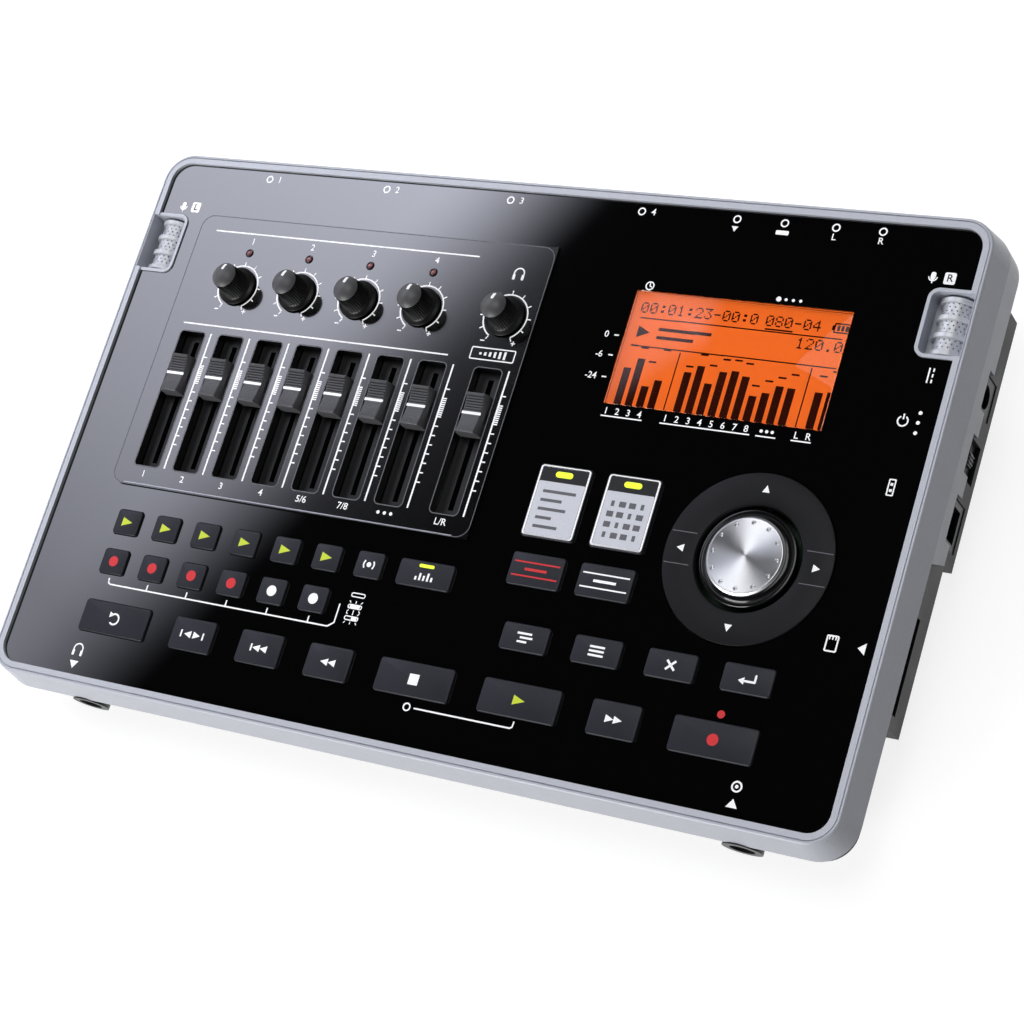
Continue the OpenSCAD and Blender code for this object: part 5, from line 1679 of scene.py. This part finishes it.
@dataclass
class PanelPrints:
    """Everything printed on the panel: scales, figures, signs, rules and the peak lamps, with painted
    highlights on the mixer field's edges.
    """

    field_top: float = 0.7
    knob_y: float = 40.7
    scale_r: float = 6.55
    tick_r: float = 7.25
    end_x: float = 4.7
    end_y: float = 7.3
    slot_y: float = 4.9
    track_x: float = -97.5
    pitch: float = 13.42
    master_x: float = -0.2

    def knob_scales(self, sheet: MarkSheet, places: Iterable[tuple[str, float]]) -> None:
        """Draw the arc and the ticks round each knob.

        Args:
            sheet: marks that they are added to.
            places: the knobs' names and places.
        """
        for _, x in places:
            sheet.arc(x, self.knob_y, self.scale_r, 0.42, -60.0, 300.0)
            for i in range(11):
                angle = math.radians(-60.0 + 30.0 * i)
                spot = (x + self.tick_r * math.cos(angle), self.knob_y + self.tick_r * math.sin(angle))
                sheet.bar(*spot, 1.1, 0.34, math.degrees(angle))
            for side in (-1.0, 1.0):
                sheet.bar(x + side * self.end_x, self.knob_y - self.end_y, 1.3, 0.34)
            sheet.bar(x + self.end_x, self.knob_y - self.end_y, 0.34, 1.3)

    def fader_scale(self, sheet: MarkSheet, x: float) -> None:
        """Draw the line and the ticks beside a fader.

        Args:
            sheet: marks that they are added to.
            x: place of the fader.
        """
        line = x + 6.3
        sheet.bar(line, self.slot_y, 0.5, 41.4)
        dense = [15.7 - 0.59 * i for i in range(10)]
        for y in [18.4, *dense, 7.7, 5.0, 2.3, -0.3, -3.0, -5.7, -8.4]:
            sheet.bar(line + 0.8, y, 1.1, 0.36)

    def field_marks(self, knobs: KnobRow, faders: FaderBank) -> None:
        """Draw the marks on the mixer field, and the painted highlights along its edges and round its fader
        slots.

        Args:
            knobs: the knobs, for their places.
            faders: the faders, for their places.
        """
        sheet = MarkSheet("mixer_marks", Body.CASE.value, INK_WHITE_PAINTED_GLOW, self.field_top)
        self.knob_scales(sheet, knobs.places())
        for _, x in faders.places():
            self.fader_scale(sheet, x)
        for y in (57.3, 28.1):
            sheet.bar(-58.15, y, 88.7, 0.42)
        for i, (_, x) in enumerate(knobs.places()[:4]):
            sheet.figure(str(i + 1), x, 54.9, 1.9)
        self.headphones(sheet, self.master_x, 53.6)
        sheet.outline(-0.45, 29.65, 13.7, 3.7, 0.5, 0.35)
        for i in range(6):
            sheet.bar(-4.2 + 1.5 * i, 29.65, 0.7, 0.6 + 0.34 * i)
        figures = ("1", "2", "3", "4", "5/6", "7/8", "", "L/R")
        for text, (_, x) in zip(figures, faders.places()):
            if text:
                sheet.figure(text, x, -18.2, 1.9)
            else:
                for side in (-1.0, 0.0, 1.0):
                    sheet.disc(x + 2.0 * side, -18.2, 0.5, 16)
        sheet.finished()
        # Grey outlines round each fader slot and round the field: painted highlights for the light that these
        # edges catch.
        edge_highlights = MarkSheet("mixer_trim", Body.CASE.value, INK_GREY, self.field_top)
        for _, x in faders.places():
            edge_highlights.outline(x, self.slot_y, 9.1, 42.1, 1.6, 0.28)
        edge_highlights.outline(-49.65, 20.2, 117.3, 83.6, 3.8, 0.22)
        edge_highlights.finished()
        # A light bar along the field's front edge: a painted highlight where its bevel catches light.
        edge = MarkSheet("mixer_edge", Body.CASE.value, PAINTED_EDGE_HIGHLIGHT, self.field_top)
        edge.bar(-49.65, -21.35, 108.0, 0.42)
        edge.finished()

    def headphones(self, sheet: MarkSheet, x: float, y: float) -> None:
        """Draw a pair of headphones round a place.

        Args:
            sheet: marks that they are added to.
            x: place, left to right.
            y: place, front to rear.
        """
        sheet.arc(x, y, 1.5, 0.4, -20.0, 220.0)
        for side in (-1.0, 1.0):
            sheet.patch(x + side * 1.35, y - 1.1, 0.8, 1.7, 0.35)

    def peak_lamps(self, knobs: KnobRow) -> None:
        """Model a small red lamp in a black ring over each gain knob.

        Args:
            knobs: the knobs, for their places.
        """
        lens = [(0.78, -0.3), (0.78, 0.1), (0.6, 0.3), (0.3, 0.4)]
        ring = [(0.8, -0.2), (0.8, 0.12), (0.95, 0.2), (1.2, 0.16), (1.3, 0.05), (1.3, -0.2)]
        for i, (_, x) in enumerate(knobs.places()[:4]):
            place = PANEL.matrix(x, 51.3, self.field_top)
            lamp = Workpiece.turned(f"peak_lamp_{i + 1}", lens, 24).done()
            settle(lamp, Body.CASE.value, LAMP_RED, place)
            rim = Workpiece.hoop(f"peak_ring_{i + 1}", ring, 32).done()
            settle(rim, Body.CASE.value, SKIRT_BLACK, place)

    def panel_marks(self) -> None:
        """Draw the white marks on the gloss face."""
        sheet = MarkSheet("panel_marks", Body.CASE.value, INK_WHITE_PAINTED_GLOW)
        self.rear_row(sheet)
        self.track_bracket(sheet)
        self.display_scale(sheet)
        self.edge_signs(sheet)
        self.stop_line(sheet)
        sheet.finished()
        red = MarkSheet("record_key_bar", Body.CASE.value, INK_RED)
        red.disc(91.0, -53.9, 1.0, 32)
        red.finished()

    def rear_row(self, sheet: MarkSheet) -> None:
        """Draw a socket sign and a figure over each rear socket.

        Args:
            sheet: marks that they are added to.
        """
        for i in range(4):
            x = -88.9 + 40.2 * i
            sheet.arc(x - 1.9, 75.1, 0.95, 0.4, 0.0, 360.0)
            sheet.figure(str(i + 1), x + 1.6, 75.1, 1.9)
        for x in (57.5, 70.9, 85.1, 97.8):
            sheet.arc(x, 75.2, 0.95, 0.4, 0.0, 360.0)
        sheet.triangle(57.5, 72.4, 1.9, 1.5, 180.0)
        sheet.patch(70.9, 72.5, 3.6, 1.2, 0.3)
        sheet.figure("L", 85.1, 72.5, 1.8)
        sheet.figure("R", 97.8, 72.5, 1.8)

    def track_bracket(self, sheet: MarkSheet) -> None:
        """Draw the line that ties the record keys together, and the lamp legend at its end.

        Args:
            sheet: marks that they are added to.
        """
        ticks = [self.track_x + self.pitch * i for i in range(6)]
        sheet.line([(ticks[0], -49.3), (ticks[0] + 0.2, -50.5), (ticks[0] + 0.9, -50.9), (-24.0, -50.9),
                    (-22.3, -49.6), (-22.3, -44.5)], 0.42)
        for x in ticks[1:]:
            sheet.bar(x, -50.0, 0.42, 1.8)
        for row, y in enumerate((-41.3, -44.5, -47.7)):
            sheet.outline(-17.6, y, 4.4, 1.3, 0.6, 0.3)
            if row:
                sheet.patch(-17.6 + (row - 1) * 0.8, y, 3.2 - (row - 1) * 1.4, 0.8, 0.35)
                for side in (-1.0, 1.0):
                    for turn in (-40.0, 0.0, 40.0):
                        sheet.bar(-17.6 + 0.045 * turn, y + side * 1.25, 0.25, 0.7, -side * turn)

    def display_scale(self, sheet: MarkSheet) -> None:
        """Draw the figures round the display.

        Args:
            sheet: marks that they are added to.
        """
        for text, y in (("0", 39.5), ("-6", 33.85), ("-24", 27.7)):
            sheet.figure(text, 31.0 - 0.5 * len(text), y, 1.8)
            sheet.bar(33.4, y, 1.3, 0.35)
        for i in range(4):
            sheet.figure(str(i + 1), 36.9 + 3.2 * i, 18.5, 1.8)
        for i in range(8):
            sheet.figure(str(i + 1), 53.9 + 3.22 * i, 18.5, 1.8)
        sheet.figure("L", 90.0, 18.5, 1.8)
        sheet.figure("R", 93.2, 18.5, 1.8)
        for x, w in ((41.7, 11.8), (65.2, 25.0), (82.1, 5.4), (91.6, 5.4)):
            sheet.bar(x, 17.1, w, 0.35)
        for side in (-1.0, 0.0, 1.0):
            sheet.disc(82.1 + 1.5 * side, 18.5, 0.45, 16)
        sheet.arc(38.6, 54.2, 1.1, 0.35, 0.0, 360.0)
        sheet.line([(38.6, 54.95), (38.6, 54.2), (39.15, 53.9)], 0.3)
        for i in range(4):
            sheet.disc(75.2 + 2.0 * i, 54.2, 0.7 if i == 0 else 0.42, 20)

    def edge_signs(self, sheet: MarkSheet) -> None:
        """Draw the signs beside the sockets in the side and front edges.

        Args:
            sheet: marks that they are added to.
        """
        for x, side in ((-115.3, "left"), (116.0, "right")):
            sheet.patch(x - 2.2, 64.5, 1.3, 2.2, 0.6)
            sheet.arc(x - 2.2, 64.3, 1.1, 0.3, 180.0, 180.0)
            sheet.bar(x - 2.2, 62.9, 0.3, 0.7)
            sheet.patch(x + 2.2, 64.2, 3.0, 3.2, 0.5)
            letter = MarkSheet("mic_letter_" + side, Body.CASE.value, INK_BLACK, sheet.thick)
            letter.figure(side[0].upper(), x + 2.2, 64.2, 2.0)
            letter.finished()
        self.headphones(sheet, -99.5, -70.4)
        sheet.triangle(-99.5, -74.9, 3.0, 2.2, 180.0)
        sheet.triangle(99.9, -74.3, 3.0, 2.2, 0.0)
        sheet.arc(99.9, -70.2, 1.2, 0.45, 0.0, 360.0)
        sheet.disc(99.9, -70.2, 0.45, 16)
        sheet.triangle(121.0, -32.0, 3.0, 2.0, 90.0)
        sheet.outline(113.4, -32.0, 3.2, 4.2, 0.4, 0.4)
        for step in (-0.8, 0.0, 0.8):
            sheet.bar(113.4 + step, -30.6, 0.35, 0.9)
        for y in (23.1, 25.8, 28.4):
            sheet.disc(119.9, y, 0.5, 16)
        sheet.arc(116.0, 25.8, 1.3, 0.4, 120.0, 300.0)
        sheet.bar(116.0, 27.0, 0.4, 1.5)
        sheet.outline(117.6, 8.6, 1.9, 4.4, 0.3, 0.35)
        for step in (-0.8, 0.8):
            sheet.bar(117.6, 8.6 + step, 0.7, 0.7)
        sheet.bar(119.3, 38.3, 0.4, 4.0)
        for step in (-1.5, 0.0, 1.5):
            sheet.bar(120.4, 38.3 + step, 0.4, 0.9)

    def stop_line(self, sheet: MarkSheet) -> None:
        """Draw the line that leads from the stop key to the play key."""
        sheet.arc(6.7, -67.6, 0.95, 0.4, 0.0, 360.0)
        sheet.line([(9.0, -67.6), (37.0, -67.6), (37.6, -67.2), (37.7, -65.9)], 0.42)

    def build(self, knobs: KnobRow, faders: FaderBank) -> None:
        """Print the field with its painted edge highlights, print the panel and set the lamps in.

        Args:
            knobs: the knobs, for their places.
            faders: the faders, for their places.
        """
        self.field_marks(knobs, faders)
        self.peak_lamps(knobs)
        self.panel_marks()


@dataclass
class CaseShells:
    """The silver upper case, the black lower case and what stays as the solids give it."""

    finishes: dict[str, Finish] = field(default_factory=lambda: {
        "top_case": SILVER_PAINT,
        "bottom_case": CASE_BLACK,
        "control_panel": PANEL_GLOSS,
        "main_board": BOARD_GREEN,
        "potentiometers": POT_BODY,
        "sockets": SOCKET_BLACK,
        "rubber_feet": FOOT_RUBBER,
        "case_screws": SCREW_STEEL,
        "batteries": CELL_JACKET,
        "cursor_gimbal": GIMBAL_WHITE,
        "power_switch": SOCKET_BLACK,
        "battery_cover": CASE_BLACK,
    })

    def build(self) -> None:
        """Dress each solid."""
        for node, finish in self.finishes.items():
            dress(node, finish)


@dataclass(frozen=True)
class Softbox:
    """A soft light: its name, place, width and height in metres, watts, and whether gloss mirrors it."""

    name: str
    eye: Spot
    size: Point
    power: float
    mirrored: bool = True


@dataclass
class Studio:
    """Camera, floor, soft lights and the pale surround. Places are in metres, the card's in millimetres."""

    eye: Spot = (0.32752, -0.24470, 0.53204)
    target: Spot = (0.01922, -0.01480, 0.03250)
    roll: float = -37.757
    lens: float = 86.27
    sensor: float = 36.0
    floor_size: float = 8.0
    floor_glow: float = 0.84
    sky_stops: Spot = (0.03, 0.12, 0.6)
    sky_levels: tuple[Spot, Spot] = ((0.14, 0.14, 0.008), (1.0, 0.3, 0.008))
    card_at: Spot = (-809.0, 386.5, 589.0)
    card_across: Spot = (-0.675, 0.414, -0.604)
    card_along: Spot = (0.5, 0.866, 0.035)
    card_size: Point = (700.0, 1500.0)
    card_level: float = 4.8
    card_tint: Colour = (0.84, 0.86, 1.0)
    card_fade: tuple[Point, ...] = ((0.0, 0.0), (0.14, 1.0), (0.36, 1.0), (0.52, 0.16))
    depth_fade: tuple[Point, ...] = ((0.36, 0.36), (0.62, 1.0), (0.7, 1.0), (0.84, 0.2))
    middle: Spot = (0.0, 0.0, 0.03)
    lights: tuple[Softbox, ...] = (
        Softbox("top_light", (0.15, 0.1, 1.3), (0.7, 0.7), 4.5),
        Softbox("left_light", (-0.8, 0.3, 0.6), (0.6, 1.0), 4.5, False),
        Softbox("rear_light", (-0.1, 0.85, 0.6), (0.5, 0.4), 3.0, False),
        Softbox("front_light", (-0.3, -0.95, 0.3), (0.7, 0.4), 7.0),
    )

    def aim(self, eye: Vector, target: Vector, roll: float = 0.0) -> Matrix:
        """Return the matrix of something that looks along its own -Z at a target.

        Args:
            eye: where it stands.
            target: what it looks at.
            roll: turn about its own axis in degrees.

        Returns:
            The matrix.
        """
        back = (eye - target).normalized()
        right = Vector((0.0, 0.0, 1.0)).cross(back).normalized()
        up = back.cross(right)
        turn = Matrix((right, up, back)).transposed().to_4x4()
        return Matrix.Translation(eye) @ turn @ Matrix.Rotation(math.radians(roll), 4, "Z")

    def camera(self) -> None:
        """Set the camera at the photograph's viewing angle."""
        data = bpy.data.cameras.new("camera")
        data.lens = self.lens
        data.sensor_width = self.sensor
        data.clip_start = 0.01
        obj = bpy.data.objects.new("camera", data)
        bpy.context.collection.objects.link(obj)
        obj.matrix_world = self.aim(Vector(self.eye), Vector(self.target), self.roll)
        bpy.context.scene.camera = obj

    def floor(self) -> None:
        """Lay a pale floor that keeps the object's shadow."""
        start_clean()
        bpy.ops.mesh.primitive_plane_add(size=self.floor_size)
        piece = Workpiece("floor")
        bpy.ops.mesh.subdivide(number_cuts=3)
        bpy.ops.object.mode_set(mode="OBJECT")
        board = NodeBoard("floor_paper")
        grain = board.noise(board.place(), 60.0)
        paper = board.blend(grain, (0.3, 0.3, 0.3), (0.32, 0.32, 0.32), (0.3, 0.7))
        board.link(paper, board.shader.inputs["Base Color"])
        board.shader.inputs["Roughness"].default_value = 0.9
        plain = board.add("Emission", Strength=0.0)
        glow = board.add("Emission", Strength=self.floor_glow)
        looks = board.rays("Is Glossy Ray", "Is Transmission Ray", "Is Camera Ray")
        seen = board.either(looks, plain.outputs["Emission"], glow.outputs["Emission"])
        total = board.add("AddShader")
        board.link(board.shader.outputs["BSDF"], total.inputs[0])
        board.link(seen, total.inputs[1])
        board.link(total.outputs["Shader"], board.output.inputs["Surface"])
        piece.obj.data.materials.append(board.material)

    def surround(self) -> None:
        """Make the world: white to the camera, and for the object pale low down and dark overhead."""
        board = WorldBoard("surround")
        split = board.add("SeparateXYZ")
        board.link(board.add("TexCoord").outputs["Generated"], split.inputs["Vector"])
        skies = []
        for levels in self.sky_levels:
            sky = board.add("Background")
            stops = [(place, (level,) * 3) for place, level in zip(self.sky_stops, levels)]
            board.link(board.ramp(split.outputs["Z"], stops), sky.inputs["Color"])
            skies.append(sky.outputs["Background"])
        white = board.add("Background", Color=(1.0, 1.0, 1.0, 1.0))
        around = board.either(board.rays("Is Glossy Ray", "Is Transmission Ray"), *skies)
        seen = board.either(board.rays("Is Camera Ray"), around, white.outputs["Background"])
        board.link(seen, board.output.inputs["Surface"])

    def card(self) -> None:
        """Hang the large soft light that the panel mirrors: it fades at its inner edge and to the front."""
        start_clean()
        bpy.ops.mesh.primitive_plane_add(size=1.0)
        piece = Workpiece("light_card")
        bpy.ops.object.mode_set(mode="OBJECT")
        across = Vector(self.card_across) * self.card_size[0]
        along = Vector(self.card_along) * self.card_size[1]
        turn = Matrix((across, along, across.cross(along).normalized())).transposed().to_4x4()
        piece.obj.data.transform(PANEL.matrix(*self.card_at) @ turn)
        board = NodeBoard("card_light")
        split = board.add("SeparateXYZ")
        board.link(board.add("TexCoord").outputs["UV"], split.inputs["Vector"])
        tints = [(place, shade(self.card_tint, share - 1.0)) for place, share in self.card_fade]
        colour = board.ramp(split.outputs["X"], tints, "EASE")
        fade = board.ramp(split.outputs["Y"], [(place, (share,) * 3) for place, share in self.depth_fade])
        level = board.add("MapRange", To_Max=self.card_level)
        board.link(fade, level.inputs["Value"])
        glow = board.add("Emission")
        board.link(colour, glow.inputs["Color"])
        board.link(level.outputs["Result"], glow.inputs["Strength"])
        board.link(glow.outputs["Emission"], board.output.inputs["Surface"])
        piece.obj.data.materials.append(board.material)
        piece.obj.visible_camera = False

    def softbox(self, light: Softbox) -> None:
        """Hang a soft rectangular light.

        Args:
            light: its name, place, size and power.
        """
        data = bpy.data.lights.new(light.name, "AREA")
        data.shape = "RECTANGLE"
        data.size, data.size_y = light.size
        data.energy = light.power
        obj = bpy.data.objects.new(light.name, data)
        bpy.context.collection.objects.link(obj)
        obj.matrix_world = self.aim(Vector(light.eye), Vector(self.middle))
        obj.visible_camera = False
        obj.visible_glossy = light.mirrored

    def build(self) -> None:
        """Set up the camera, the floor, the surround and the lights."""
        self.camera()
        self.floor()
        self.surround()
        bpy.context.scene.view_settings.view_transform = "Standard"
        self.card()
        for light in self.lights:
            self.softbox(light)


def main() -> None:
    """Build every sub-assembly in order."""
    logging.basicConfig(level=logging.INFO, format="%(name)s: %(message)s")
    knobs, faders = KnobRow(), FaderBank()
    Studio().build()
    CaseShells().build()
    KeySet().build()
    knobs.build()
    faders.build()
    CursorDial().build()
    Display().build()
    MicGrilles().build()
    PanelPrints().build(knobs, faders)


if __name__ == "__main__":
    main()
